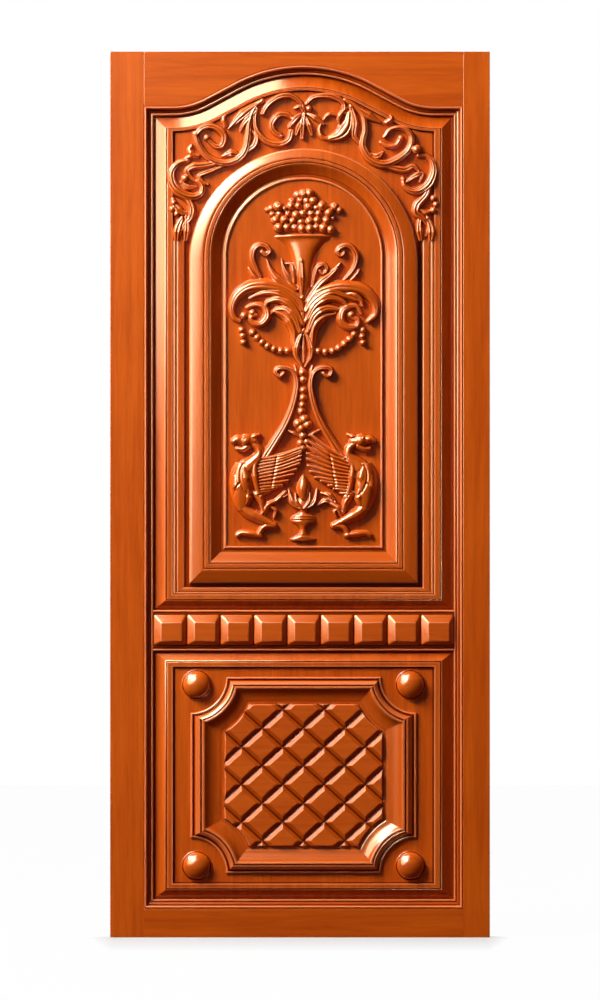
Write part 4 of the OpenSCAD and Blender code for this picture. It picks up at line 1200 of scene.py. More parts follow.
@dataclass(frozen=True)
class FieldCarving:
    """The carving of the arched field, drawn about the middle of the field's foot."""

    leaf: Leaf
    step: float = 1.0
    berry_bold: float = 1.15
    arm_bold: float = 1.2
    arm_cut: float = 0.5
    swag_r: float = 8.8
    drop_r: float = 8.0
    bead_bold: float = 0.97
    shoulder: tuple[float, float] = (-103.0, 206.0)
    shoulder_run: tuple[float, float] = (-8.0, -84.0)
    feather_count: int = 12
    feather_half: tuple[float, float, float] = (5.5, 9.5, 5.5)
    feather_sag: float = 7.0
    feather_lap: float = 0.3
    fissure_half: float = 2.4
    fissure_depth: float = 1.7

    @property
    def origin(self) -> tuple[float, float]:
        """The middle of the field's foot."""
        return self.leaf.axis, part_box("arch_sill")[1].z / MM

    def relief(self, node: str) -> Relief:
        """An empty grid over a solid."""
        return Relief.over(node, self.origin, self.step)

    def finish(self, relief: Relief, node: str) -> None:
        """Puts a carved grid on the ground in place of a solid."""
        relief.build(self.leaf, node, self.origin, CARVING_UP)

    def fruit(self) -> None:
        """The heap of fruit: round berries of many sizes, every third with a dimple."""
        relief = self.relief("fruit")
        berries = [
            (0, 834, 11), (14, 836, 10), (-14, 832, 9), (-8, 820, 9), (23, 818, 10), (8, 818, 9),
            (-28, 818, 7), (-30, 806, 9), (-12, 806, 8), (11, 804, 10), (30, 802, 8), (43, 806, 11),
            (-60, 804, 11), (-76, 800, 8), (-86, 797, 6), (-74, 787, 7), (-45, 800, 7), (-57, 787, 9),
            (-37, 788, 8), (-18, 784, 10), (-1, 788, 9), (18, 788, 9), (36, 788, 8), (60, 790, 10),
            (73, 804, 9), (85, 796, 8), (-66, 773, 10), (-46, 773, 10), (-26, 770, 9), (-6, 768, 9),
            (14, 770, 10), (32, 772, 9), (54, 772, 9), (70, 778, 6), (-58, 755, 11), (-39, 755, 10),
            (-21, 755, 9), (-4, 752, 10), (15, 752, 10), (31, 757, 9), (47, 754, 11), (64, 750, 9),
        ]
        for i, (x, y, r) in enumerate(berries):
            relief.ball(x, y, self.berry_bold * r, 0.30 + 0.12 * math.sin(1.7 * i))
            if i % 3 == 0:
                relief.cut([(x - 2, y + 2), (x + 2, y + 4)], 1.2, 2.2)
        self.finish(relief, "fruit")

    def vase_spray(self) -> None:
        """The trumpet vase, the scrolls and blades behind it, and the acanthus arms that carry it."""
        relief = self.relief("vase_spray")
        back = [
            S([(-94, 623), (-112, 657), (-121, 683), (-118, 704), (-104, 714), (-89, 711), (-81, 700),
              (-89, 691), (-98, 697)], (4, 9, 6), (7, 12, 13), 2, 0.22),
            S([(91, 625), (115, 654), (125, 679), (120, 700), (105, 712), (89, 709), (80, 699), (87, 690),
              (96, 695)], (4, 9, 6), (7, 12, 13), 2, 0.22),
            S([(-129, 658), (-118, 641), (-104, 627)], (4, 6, 3), (7, 9, 6)),
            S([(132, 654), (123, 641), (108, 627)], (4, 6, 3), (7, 9, 6)),
            S([(-87, 679), (-78, 654), (-59, 630), (-21, 606)], (2, 13, 9), (8, 13, 10)),
            S([(-52, 680), (-47, 658), (-32, 630), (-15, 610)], (2, 9, 7), (9, 13, 10), 2, 0.25),
            S([(-42, 670), (-30, 668), (-24, 649), (-22, 625)], (4, 8, 6), (9, 13, 11)),
            S([(20, 615), (26, 644), (33, 662), (48, 668), (55, 656), (46, 646), (38, 652)], (5, 7, 5),
              (9, 12, 11), 2, 0.2),
            S([(87, 671), (66, 646), (38, 622), (7, 581)], (2, 12, 7), (9, 14, 11), 2, 0.2),
        ]
        front = [
            S([(-21, 479), (-23, 513), (-37, 539), (-59, 553), (-85, 557)], (8, 14, 3), (12, 16, 9), 3,
              0.22),
            S([(20, 479), (25, 518), (47, 542), (76, 551)], (8, 13, 3), (12, 16, 9), 3, 0.22),
            S([(0, 533), (-8, 576), (-40, 605), (-83, 617), (-125, 615), (-154, 598), (-169, 570),
              (-165, 543), (-152, 533)], (7, 17, 6), (12, 17, 12), 2, 0.16),
            S([(-5, 557), (-35, 588), (-70, 602), (-101, 600), (-128, 587)], (6, 13, 3), (13, 17, 10), 2,
              0.18),
            S([(-3, 528), (-26, 567), (-56, 585), (-82, 581), (-93, 566)], (8, 14, 4), (14, 18, 12), 2,
              0.18),
            S([(-9, 508), (-21, 542), (-40, 561), (-62, 562), (-76, 551)], (8, 13, 3), (14, 17, 10), 2,
              0.2),
            S([(2, 557), (28, 596), (66, 611), (105, 614), (142, 606), (168, 580), (171, 552),
              (154, 533)], (6, 17, 6), (12, 17, 12), 2, 0.16),
            S([(6, 557), (32, 586), (66, 602), (100, 593), (134, 581)], (6, 13, 3), (13, 17, 10), 2,
              0.18),
            S([(6, 533), (28, 570), (57, 588), (86, 584), (105, 570)], (8, 14, 4), (14, 18, 12), 2, 0.18),
            S([(10, 508), (26, 545), (52, 563), (81, 561), (98, 557)], (8, 14, 3), (14, 17, 10), 2, 0.2),
            S([(92, 592), (115, 598), (134, 586), (140, 570)], (5, 10, 4), (10, 14, 10)),
            S([(-133, 566), (-113, 573), (-94, 567), (-86, 547), (-99, 529), (-118, 528), (-127, 541),
              (-115, 549)], (5, 11, 6), (10, 15, 13), 2, 0.18),
            S([(136, 552), (125, 568), (107, 568), (92, 557), (89, 537), (103, 520), (125, 522),
              (128, 536), (115, 543)], (5, 11, 6), (10, 15, 13), 2, 0.18),
            S([(0, 514), (-15, 482), (-18, 454), (-4, 426)], (3, 9, 3), (12, 15, 10), 2, 0.25),
            S([(0, 514), (15, 482), (18, 454), (4, 426)], (3, 9, 3), (12, 15, 10), 2, 0.25),
            S([(0, 500), (0, 470), (0, 434)], (3, 6, 3), (7, 8, 7)),
        ]
        for s in back:
            relief.stroke(s)
        relief.turned(0, [
            (586, 6, 9), (598, 11, 11), (608, 16, 12), (625, 22, 13), (649, 26, 13), (674, 28, 13),
            (698, 34, 12), (713, 43, 11), (722, 52, 10), (728, 63, 10), (731, 69, 11), (735, 69, 13),
            (738, 64, 12), (740, 56, 9),
        ])
        relief.stroke(S([(-5, 676), (-5, 640), (-3, 598)], (8, 11, 3), (16, 19, 14), 2, 0.14))
        relief.ball(-4, 588, 7, 0.6)
        for s in bolder(front, self.arm_bold, self.arm_cut):
            relief.stroke(s)
        for x, y in ((-121, 553), (-141, 546), (113, 548)):
            relief.ball(x, y, 9, 0.6)
        self.finish(relief, "vase_spray")

    def swags(self) -> None:
        """The strings of beads and the drops beside them."""
        left = [(-121, 506), (-110, 494), (-98, 483), (-85, 474), (-70, 467), (-54, 463), (-38, 462)]
        right = [(35, 462), (52, 460), (69, 462), (84, 469), (97, 479), (109, 490), (120, 502)]
        drops = [[(-147, 512), (-144, 498), (-142, 483)], [(141, 512), (139, 497), (141, 482)]]
        for node, string, drop in (("swag_left", left, drops[0]), ("swag_right", right, drops[1])):
            relief = self.relief(node)
            for x, y in string:
                relief.ball(x, y, self.swag_r)
            for x, y in drop:
                relief.ball(x, y, self.drop_r)
            self.finish(relief, node)

    def bead_drop(self) -> None:
        """The string of beads, the pod and the berries between the arms of the lyre."""
        relief = self.relief("bead_drop")
        beads = [
            (-3, 419, 7), (-2, 411, 11), (-1, 394, 10), (-1, 369, 10), (-1, 351, 11), (-3, 334, 10),
            (-5, 319, 11), (-13, 290, 13), (2, 300, 13), (10, 287, 13), (-5, 279, 13), (-1, 261, 11),
            (-7, 244, 9), (8, 247, 9), (-2, 231, 9),
        ]
        for x, y, r in beads:
            relief.ball(x, y, r * self.bead_bold)
        self.finish(relief, "bead_drop")

    def lyre(self) -> None:
        """The two grooved arms with volutes at their heads."""
        relief = self.relief("lyre")
        arm = [
            S([(-47, 410), (-56, 403), (-65, 410), (-63, 420), (-48, 423), (-29, 417), (-19, 401),
              (-17, 374), (-26, 332), (-44, 288), (-71, 243), (-92, 210)], (6, 9, 13), (12, 15, 14), 2,
              0.22),
            S([(-14, 262), (-24, 268), (-36, 274)], (4, 6, 4), (8, 11, 8)),
            S([(-15, 404), (-18, 416), (-21, 428)], (3, 6, 3), (9, 10, 7)),
        ]
        for s in [*arm, *mirrored(arm)]:
            relief.stroke(s)
        self.finish(relief, "lyre")

    def feathers(self, tips: Points) -> list[Stroke]:
        """A wing's feathers, from the shoulder to points spread along the line of their tips.

        Args:
            tips: the line of the tips, from the uppermost.

        Returns:
            A stroke for each feather, from the uppermost.
        """
        line = curve(tips)
        feathers = []
        for t in np.linspace(0, 1, self.feather_count):
            root = np.array(self.shoulder) + t * np.array(self.shoulder_run)
            tip = line[round(t * (len(line) - 1))]
            bend = (root + tip) / 2 - (0, self.feather_sag * (1 - t))
            rise = (14, 14 - 2 * t, 11)
            feathers.append(S([root, bend, tip], self.feather_half, rise, lap=self.feather_lap))
        return feathers

    def griffins(self) -> None:
        """The seated griffins, facing outwards, with their wings towards the axis."""
        wings = {
            1: [(4, 235), (-2, 216), (-14, 188), (-41, 151), (-80, 130)],
            -1: [(-19, 262), (-9, 231), (-9, 199), (-24, 167), (-56, 145), (-88, 124)],
        }
        body = [
            S([(-150, 112), (-136, 84), (-106, 66), (-71, 48)], (17, 16, 9), (13, 16, 12)),
            S([(-71, 49), (-94, 45), (-108, 27)], (9, 9, 8), (12, 13, 11)),
            S([(-156, 26), (-146, 31), (-124, 29), (-103, 26)], (8, 10, 9), (9, 12, 12)),
            S([(-106, 206), (-116, 188), (-113, 154), (-106, 124)], (8, 13, 9), (16, 19, 14)),
            S([(-113, 124), (-100, 104), (-94, 80)], (11, 10, 7), (13, 14, 11)),
            S([(-160, 164), (-158, 142), (-150, 122)], (12, 17, 11), (17, 20, 16)),
            S([(-142, 184), (-137, 162), (-139, 140)], (12, 17, 10), (19, 21, 18)),
            S([(-132, 132), (-131, 114), (-136, 98)], (10, 14, 9), (18, 19, 15)),
            S([(-129, 248), (-109, 233), (-107, 214), (-132, 186)], (10, 13, 24), (13, 16, 18)),
        ]
        barrel = [(84, 13, 13), (100, 23, 16), (126, 31, 19), (154, 33, 20), (180, 28, 19), (198, 17, 16)]
        forelegs = {
            1: [
                S([(-96, 79), (-84, 97), (-66, 107)], (9, 9, 6), (11, 14, 11)),
                S([(-68, 105), (-57, 114), (-43, 128)], (7, 7, 5), (11, 13, 9)),
                S([(-54, 116), (-46, 117), (-38, 122)], (4, 4, 3), (9, 10, 8)),
                S([(-80, 94), (-66, 84), (-70, 68)], (6, 6, 4), (11, 12, 8)),
            ],
            -1: [
                S([(-88, 76), (-80, 92), (-66, 100)], (8, 9, 6), (11, 14, 11)),
                S([(-72, 98), (-52, 108), (-36, 98)], (6, 8, 3), (11, 13, 8), 2),
                S([(-74, 104), (-60, 122), (-42, 126)], (6, 8, 3), (11, 13, 8), 2),
                S([(-86, 90), (-74, 82), (-78, 68)], (6, 6, 4), (11, 12, 8)),
            ],
        }
        head = [
            S([(-118, 248), (-136, 249), (-152, 251)], (13, 18, 13), (14, 17, 15)),
            S([(-146, 252), (-157, 253), (-165, 249)], (13, 12, 9), (15, 16, 14)),
            S([(-130, 238), (-143, 230), (-156, 231)], (11, 9, 7), (14, 14, 12)),
            S([(-125, 258), (-116, 260), (-106, 264)], (5, 8, 5), (12, 14, 10)),
        ]
        elbow, skull, eye = (-102, 116, 9, 0.5), (-136, 250, 17, 0.1), (-141, 256, 4, 3.6)
        fissures = [
            [(-142, 196), (-150, 176), (-149, 150), (-140, 130)], [(-150, 150), (-160, 138), (-166, 120)],
            [(-167, 243), (-157, 241), (-146, 241)], [(-140, 130), (-128, 120), (-120, 122)],
            [(-62, 219), (-69, 180), (-76, 138)],
        ]
        for node, side in (("griffin_left", 1), ("griffin_right", -1)):
            relief = self.relief(node)
            strokes = [*self.feathers(wings[side]), *body, *forelegs[side], *head]
            for s in strokes if side == 1 else mirrored(strokes):
                relief.stroke(s)
            relief.turned(side * -145, barrel)
            for x, y, r, lift in (elbow, skull, eye):
                relief.ball(side * x, y, r, lift)
            for line in fissures:
                relief.cut([(side * x, y) for x, y in line], self.fissure_half, self.fissure_depth)
            self.finish(relief, node)

    def urn(self) -> None:
        """The urn: a turned foot, stem and saucer, a cup of leaves and an acorn."""
        relief = self.relief("urn")
        relief.turned(-1, [
            (13, 32, 9), (17, 33, 10), (22, 23, 11), (29, 11, 10), (41, 8, 10), (50, 15, 11),
            (56, 31, 12), (65, 33, 13), (72, 27, 13), (78, 11, 11), (85, 11, 12), (92, 18, 12),
            (105, 21, 11), (116, 16, 9),
        ])
        acorn = [(110, 8, 13), (122, 16, 16), (136, 18, 18), (150, 15, 16), (163, 6, 12), (170, 1, 7)]
        relief.turned(-1, acorn)
        sprays = [
            S([(-5, 89), (-26, 101), (-36, 135)], (6, 9, 2), (13, 14, 8), 2, 0.2),
            S([(-4, 89), (-17, 105), (-19, 124)], (5, 7, 3), (15, 16, 11)),
            S([(3, 89), (23, 103), (32, 135)], (6, 9, 2), (13, 14, 8), 2, 0.2),
            S([(1, 89), (13, 105), (15, 126)], (5, 7, 3), (15, 16, 11)),
        ]
        for s in sprays:
            relief.stroke(s)
        for y in (58, 65, 22):
            relief.cut([(-34, y + 3), (34, y + 3)], 1.0, 1.5)
        self.finish(relief, "urn")

    def build(self) -> None:
        """Makes every carving of the field."""
        self.fruit()
        self.vase_spray()
        self.swags()
        self.bead_drop()
        self.lyre()
        self.griffins()
        self.urn()


@dataclass(frozen=True)
class FriezeCarving:
    """The scrolling acanthus between the arch and the ogee, drawn about the springing point."""

    leaf: Leaf
    step: float = 1.1
    bold: float = 1.3

    def strokes(self) -> list[Stroke]:
        """The leaves and scrolls, from the palmette outwards.

        Returns:
            The strokes, in the order in which they are carved.
        """
        palmette = [
            S([(3, 346), (-2, 320), (-3, 282)], (2, 8, 5), (6, 13, 9), 2),
            S([(0, 340), (-16, 330), (-34, 308)], (2, 7, 4), (6, 12, 8), 2),
            S([(1, 334), (-10, 311), (-18, 290)], (2, 7, 4), (6, 12, 8), 2),
            S([(5, 340), (24, 332), (46, 315)], (2, 7, 4), (6, 12, 8), 2),
            S([(4, 334), (13, 311), (19, 290)], (2, 7, 4), (6, 12, 8), 2),
            S([(-1, 344), (-9, 356), (-19, 352)], (3, 4, 4), (8, 9, 8)),
            S([(0, 350), (-7, 365), (-24, 378), (-40, 382), (-64, 376), (-87, 358), (-97, 340)],
              (4, 7, 6), (8, 12, 10), 2),
            S([(-110, 351), (-116, 328), (-112, 301), (-94, 277), (-72, 267), (-52, 267), (-34, 278),
              (-29, 296)], (4, 7, 7), (8, 11, 10), 2),
            S([(-25, 327), (-40, 336), (-57, 336), (-70, 325), (-75, 310), (-68, 295), (-55, 287)],
              (6, 7, 6), (8, 11, 9), 2),
            S([(6, 362), (23, 378), (53, 382), (78, 376), (94, 363), (95, 342)], (4, 7, 5), (8, 12, 10),
              2),
            S([(108, 340), (104, 312), (88, 290), (62, 280)], (7, 17, 7), (9, 14, 9), 3, 0.2),
            S([(62, 278), (45, 283), (37, 298), (40, 312)], (5, 6, 3), (8, 9, 7)),
            S([(100, 352), (84, 330), (86, 312)], (4, 6, 2), (9, 12, 7)),
            S([(48, 326), (60, 337), (76, 335)], (3, 5, 3), (6, 9, 6)),
        ]
        left = [
            S([(-98, 370), (-117, 350), (-128, 322), (-132, 286), (-138, 253), (-156, 231), (-185, 222),
              (-213, 228), (-236, 245), (-251, 271), (-257, 292)], (5, 9, 6), (9, 14, 11), 3, 0.25),
            S([(-256, 288), (-243, 304), (-222, 309), (-202, 302), (-188, 285), (-193, 264), (-209, 262),
              (-225, 276)], (6, 8, 5), (11, 13, 10), 2),
            S([(-104, 366), (-143, 338), (-178, 303)], (5, 12, 2), (9, 13, 7), 3),
            S([(-110, 350), (-141, 317), (-150, 298)], (4, 8, 3), (9, 11, 7), 2),
            S([(-136, 250), (-117, 264), (-112, 284), (-120, 296)], (6, 8, 3), (9, 11, 7), 2),
            S([(-150, 240), (-170, 246), (-192, 238)], (4, 9, 3), (9, 12, 7), 3),
            S([(-185, 310), (-190, 326), (-186, 336)], (5, 6, 3), (8, 10, 7)),
            S([(-205, 222), (-240, 216), (-262, 214), (-276, 204), (-268, 188), (-254, 180)], (5, 9, 4),
              (10, 12, 9), 2),
            S([(-190, 215), (-225, 202), (-247, 192), (-240, 178), (-228, 172)], (3, 6, 4), (8, 10, 8),
              2),
            S([(-250, 238), (-262, 242), (-270, 252), (-266, 264)], (5, 8, 3), (9, 11, 8)),
            S([(-262, 240), (-280, 233)], (5, 6, 3), (8, 9, 7)),
            S([(-274, 228), (-296, 222), (-311, 206), (-314, 186), (-306, 164), (-286, 148), (-262, 142),
              (-243, 150), (-240, 168), (-252, 180)], (5, 12, 5), (9, 15, 10), 3, 0.25),
            S([(-290, 176), (-274, 164), (-256, 166)], (4, 8, 3), (9, 11, 8), 2),
            S([(-294, 148), (-272, 132), (-264, 112), (-268, 92), (-282, 76), (-293, 56)], (5, 9, 3),
              (9, 13, 7), 2),
            S([(-310, 136), (-303, 118), (-288, 104), (-272, 102)], (5, 10, 4), (9, 12, 9), 2),
            S([(-278, 96), (-276, 66), (-281, 24)], (5, 9, 2), (9, 12, 5), 2),
            S([(-288, 92), (-299, 62), (-301, 22)], (6, 11, 2), (9, 12, 5), 2),
        ]
        right = [
            S([(98, 372), (125, 354), (141, 334), (146, 302), (141, 278), (142, 257), (160, 230),
              (192, 219), (222, 230), (246, 249), (256, 270), (255, 288), (242, 302), (225, 306),
              (204, 300), (192, 284)], (5, 10, 4), (9, 14, 10), 3, 0.25),
            S([(183, 271), (200, 262), (219, 264), (230, 279)], (4, 6, 5), (8, 10, 9)),
            S([(112, 356), (122, 320), (120, 288), (132, 270)], (6, 9, 5), (9, 12, 9), 2),
            S([(128, 352), (158, 331), (182, 318)], (5, 10, 2), (9, 12, 7), 2),
            S([(196, 318), (208, 326), (206, 334)], (5, 7, 3), (8, 10, 8)),
            S([(160, 242), (176, 238), (188, 248)], (5, 9, 3), (9, 12, 7), 2),
            S([(180, 219), (214, 210), (240, 206), (260, 214), (272, 204)], (4, 9, 4), (9, 12, 9), 2),
            S([(272, 240), (292, 238), (306, 222), (308, 198), (298, 174), (278, 158), (256, 156),
              (240, 168), (236, 184)], (5, 11, 5), (9, 15, 10), 3, 0.25),
            S([(246, 178), (262, 190), (280, 196), (276, 178)], (4, 7, 3), (9, 11, 8), 2),
            S([(300, 172), (290, 146), (270, 122), (268, 104), (284, 90), (296, 72), (290, 50)],
              (6, 10, 3), (10, 14, 7), 2),
            S([(276, 112), (290, 104), (304, 110)], (4, 8, 4), (9, 11, 9)),
            S([(276, 96), (274, 66), (281, 24)], (5, 9, 2), (9, 12, 5), 2),
            S([(294, 92), (303, 62), (300, 22)], (6, 11, 2), (9, 12, 5), 2),
        ]
        return bolder([*palmette, *left, *right], self.bold)

    def build(self) -> None:
        """Makes the frieze, which rises over the panel's border where it reaches that far."""
        origin = (self.leaf.axis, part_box("arch_left")[1].z / MM)
        relief = Relief.over("frieze", origin, self.step)
        for s in self.strokes():
            relief.stroke(s)
        berries = [
            (13, 351, 8), (-229, 282, 8), (-281, 186, 9), (-308, 128, 8), (-311, 113, 8), (-300, 102, 8),
            (231, 281, 7), (268, 254, 12), (308, 138, 8), (314, 124, 8), (308, 110, 8),
        ]
        for x, y, r in berries:
            relief.ball(x, y, r, 0.5)
        relief.build(self.leaf, "frieze", origin, CARVING_UP)


@dataclass(frozen=True)
class LatticePanel:
    """The lower panel's lattice: a moulded frame with hollow corners, a board of diamonds, and bosses."""

    leaf: Leaf
    side_w: float = 80.0
    rail_w: float = 63.0
    corner_r: float = 85.0
    corner_w: float = 67.0
    diamond_w: float = 98.0
    diamond_h: float = 89.0
    corner_stations: int = 25
    board_t: float = 8.0
    board_step: float = 1.4
    groove_w: float = 23.0
    groove_depth: float = 7.4
    groove_way: tuple[float, ...] = (0, 0.05, 0.72, 0.80, 1)
    groove_fall: tuple[float, ...] = (0, 0.015, 0.49, 0.58, 1)
    groove_blend: float = 0.04
    boss_r: float = 33.0
    boss_rise: float = 20.0
    boss_foot: float = 3.0
    boss_stations: int = 64

    @property
    def middle(self) -> tuple[float, float]:
        """The middle of the lattice."""
        return middle_of("lattice_board")

    @property
    def corner_out(self) -> float:
        """The radius of the hollow corners over their moulding."""
        return self.corner_r + self.corner_w

    def lean(self, width: float) -> float:
        """How far a straight's cut against a hollow corner leans along it, over the straight's width."""
        return (self.corner_r - math.sqrt(self.corner_out**2 - width**2)) / width

    @property
    def half(self) -> tuple[float, float]:
        """Half the width and height over the frame."""
        x, y = self.middle
        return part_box("lattice_right")[1].x / MM - x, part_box("lattice_top")[1].z / MM - y

    def profile(self, width: float) -> np.ndarray:
        """Distance from the frame's outer edge and height, for a width."""
        shares = [
            (0, 0), (0, 0), (0, 2.6), (2.4, 4.6), (7, 4.6), (8.6, 1.4), (11, 1.4), (15, 6), (20, 10.6),
            (26, 12.8), (30, 13.2), (31.4, 11), (34, 11), (35, 13.8), (38, 14.2), (42, 14), (44, 13),
            (50, 9.4), (60, 5.6), (74, 2.8), (87, 1.6), (90, 0.8), (96, 0.6), (100, 0.8), (100, 0),
            (100, 0),
        ]
        return softened([(d * width / 100, self.leaf.ground + z) for d, z in shares])

    def straights(self) -> None:
        """Makes the side and rail pieces, cut on the lines where the hollow corners meet them."""
        x, y = self.middle
        half_w, half_h = self.half
        end, lean = half_h - self.corner_r, self.lean(self.side_w)
        for node, side in (("lattice_left", -1), ("lattice_right", 1)):
            edge = (x + side * half_w, -side)
            path = straight((*edge, y - end, -lean), (*edge, y + end, lean))
            moulding(self.leaf, node, self.profile(self.side_w), path, MOULDING_UP)
        end, lean = half_w - self.corner_r, self.lean(self.rail_w)
        for node, side in (("lattice_bottom", -1), ("lattice_top", 1)):
            edge = (y + side * half_h, -side)
            path = straight((x - end, -lean, *edge), (x + end, lean, *edge))
            moulding(self.leaf, node, self.profile(self.rail_w), path, MOULDING_ACROSS)

    def corner(self, i: int, sx: int, sy: int) -> None:
        """Makes a hollow corner: arcs about the frame's own corner that end on the neighbours' cut lines.

        A circle of radius r meets the line from p to q where |p + s (q - p)| = r.

        Args:
            i: the corner's number.
            sx: which way its corner lies across.
            sy: which way its corner lies up.
        """
        x, y = self.middle
        half_w, half_h = self.half

        def meet(r: np.ndarray, width: float) -> np.ndarray:
            """Where the circles meet the cut line of a neighbour.

            Args:
                r: the circles' radii.
                width: the neighbour's width.

            Returns:
                The angle of each from the neighbour's edge.
            """
            run = np.array([width, -self.lean(width) * width])
            a, b = run @ run, run[1] * self.corner_r
            s = (-b + np.sqrt(b**2 - a * (self.corner_r**2 - r**2))) / a
            return np.arctan2(s * run[0], self.corner_r + s * run[1])

        def path(d: np.ndarray) -> tuple[np.ndarray, np.ndarray]:
            """The arcs from one neighbour to the other.

            Args:
                d: distances from the corner's inner arc.

            Returns:
                x and y, with a row for each station and a column for each distance.
            """
            r = self.corner_r + d
            first, last = meet(r, self.rail_w), math.pi / 2 - meet(r, self.side_w)
            a = first + (last - first) * np.linspace(0, 1, self.corner_stations)[:, None]
            return x + sx * (half_w - r * np.cos(a)), y + sy * (half_h - r * np.sin(a))

        moulding(self.leaf, f"lattice_corner_{i}", self.profile(self.corner_w), path, MOULDING_UP)

    def board(self) -> None:
        """Makes the board of diamonds, each with a flat top, a bevel and the steep wall of a groove.

        Grooves lie where x / width + y / height or x / width - y / height is whole. From a groove's edge to
        its middle the surface falls as groove_fall over groove_way. Where two cross, the deeper one counts.
        """
        half_w, half_h = self.half
        inner_w, inner_h = half_w - self.side_w, half_h - self.rail_w
        relief = Relief((-inner_w - 2, -inner_h - 2), (inner_w + 2, inner_h + 2), self.board_step)
        gx, gy = np.meshgrid(relief.x, relief.y)
        tall = 1 / math.hypot(1 / self.diamond_w, 1 / self.diamond_h)
        grooves = []
        for lean in (1, -1):
            across = gx / self.diamond_w + lean * (gy / self.diamond_h - 0.25)
            away = np.abs(across - np.round(across)) * tall / (self.groove_w / 2)
            grooves.append(np.interp(np.clip(1 - away, 0, 1), self.groove_way, self.groove_fall))
        first, second = grooves
        deep = (first + second + np.sqrt((first - second) ** 2 + self.groove_blend**2)) / 2
        far = np.hypot(np.abs(gx) - half_w, np.abs(gy) - half_h) - self.corner_out
        inside = np.minimum(np.minimum(inner_w - np.abs(gx), inner_h - np.abs(gy)), far)
        height = self.board_t - self.groove_depth * deep
        relief.height = np.maximum(np.minimum(height, inside * 3.0), -Relief.BURY)
        # paler lines along the diamonds' top edges, partly a painted highlight
        edges = np.exp(-(((deep - 0.06) / 0.05) ** 2)) * 0.5
        # painted shade on the bevels, and deeper in the groove floors
        extra_shade = np.clip(deep * 5 - 0.3, 0, 0.28) + np.clip(deep * 3 - 1.5, 0, 0.7)
        relief.build(self.leaf, "lattice_board", self.middle, PANEL_ACROSS, edges, extra_shade)

    def boss(self, i: int) -> None:
        """Makes a turned boss: a flange, a groove and a dome, as radius and height carried round its axis.

        Args:
            i: the boss's number.
        """
        x, y = middle_of(f"boss_{i}")
        dome_r, foot, flange = self.boss_r * 0.97, self.boss_foot, self.boss_r + self.boss_foot
        arc = np.linspace(0.02, math.pi / 2, 14)[:-1]
        dome = [(dome_r * math.cos(a), foot + (self.boss_rise - foot) * math.sin(a)) for a in arc]
        profile = softened([
            (flange, 0), (flange, 0), (flange, 1.0), (flange - 1.2, 1.7), (self.boss_r + 0.4, 1.5),
            (self.boss_r - 0.4, 0.6), (dome_r, 1.6), *dome, (0.6, self.boss_rise), (0.3, self.boss_rise),
        ], 3)
        a = np.linspace(0, 2 * math.pi, self.boss_stations, endpoint=False)
        r, z = profile[:, :1], profile[:, 1:]
        verts, faces = skin(self.leaf.place(x + r * np.cos(a), y + r * np.sin(a), self.leaf.ground + z))
        # painted shade: a dark ring in the groove at the foot of the dome
        groove = np.exp(-(((r[:, 0] - self.boss_r) / 1.5) ** 2)) * (z[:, 0] < foot + 1)
        marks = {"recess": np.repeat(groove, len(a)), "ridge": np.zeros(len(r) * len(a))}
        piece = wood_object(f"boss_{i}_wood", verts, faces, STUD_ACROSS, marks, 60.0)
        dressed(piece, STUD_ACROSS, f"boss_{i}")

    def build(self) -> None:
        """Makes the frame, the board and the bosses."""
        self.straights()
        for i, (sx, sy) in enumerate(((-1, -1), (1, -1), (1, 1), (-1, 1)), 1):
            self.corner(i, sx, sy)
            self.boss(i)
        self.board()


@dataclass(frozen=True)
class LeafFrame:
    """The stiles and rails, which keep their solids and get soft edges and a finish."""

    edge: float = 0.0009
    weld: float = 0.00002
    sharp: float = 40.0

    def dress(self, nodes: dict[str, bpy.types.Object]) -> None:
        """Gives each solid its varnish, with the grain along its length, and eased edges.

        Args:
            nodes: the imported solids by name.
        """
        for node in ("left_stile", "right_stile", "top_rail", "lock_rail", "bottom_rail"):
            finish = FRAME_UP if node.endswith("stile") else FRAME_ACROSS
            solid = nodes[node]
            solid.data.materials.clear()
            solid.data.materials.append(finish.material())
            weld = solid.modifiers.new("joined", "WELD")
            weld.merge_threshold = self.weld
            bevel = solid.modifiers.new("eased", "BEVEL")
            bevel.width = self.edge
            bevel.segments = 2
            bevel.limit_method = "ANGLE"
            bevel.angle_limit = math.radians(self.sharp)
            bevel.harden_normals = False
            LOG.info("%s: %s", node, finish.name)


@dataclass(frozen=True)
class Lamp:
    """A lamp that faces the middle of the leaf; a sheen lamp is warm and shows in the varnish alone."""

    name: str
    at: tuple[float, float, float]
    size: float
    power: float
    sheen: bool = True
    aim: tuple[float, float, float] = (0.0, 0.0, 1.1)
    sheen_colour: tuple[float, float, float] = (1.0, 0.82, 0.52)

    def build(self) -> None:
        """Adds the lamp to the scene."""
        data = bpy.data.lights.new(self.name, "AREA")
        data.color = self.sheen_colour if self.sheen else WHITE[:3]
        data.shape = "DISK" if self.sheen else "SQUARE"
        data.size = self.size
        data.energy = self.power
        lamp = bpy.data.objects.new(self.name, data)
        lamp.location = self.at
        way = Vector(self.aim) - Vector(self.at)
        lamp.rotation_euler = way.to_track_quat("-Z", "Y").to_euler()
        lamp.visible_diffuse = not self.sheen
        bpy.context.scene.collection.objects.link(lamp)


LAMPS = (
    Lamp("key", (-4.3, -2.45, 5.3), 2.4, 830, sheen=False),
    Lamp("sheen", (-3.4, -4.5, 3.3), 5.4, 1050),
    Lamp("glint", (-2.25, -5.26, 3.8), 2.7, 640),
    Lamp("gleam", (-1.78, -3.9, 6.2), 2.3, 330),
)


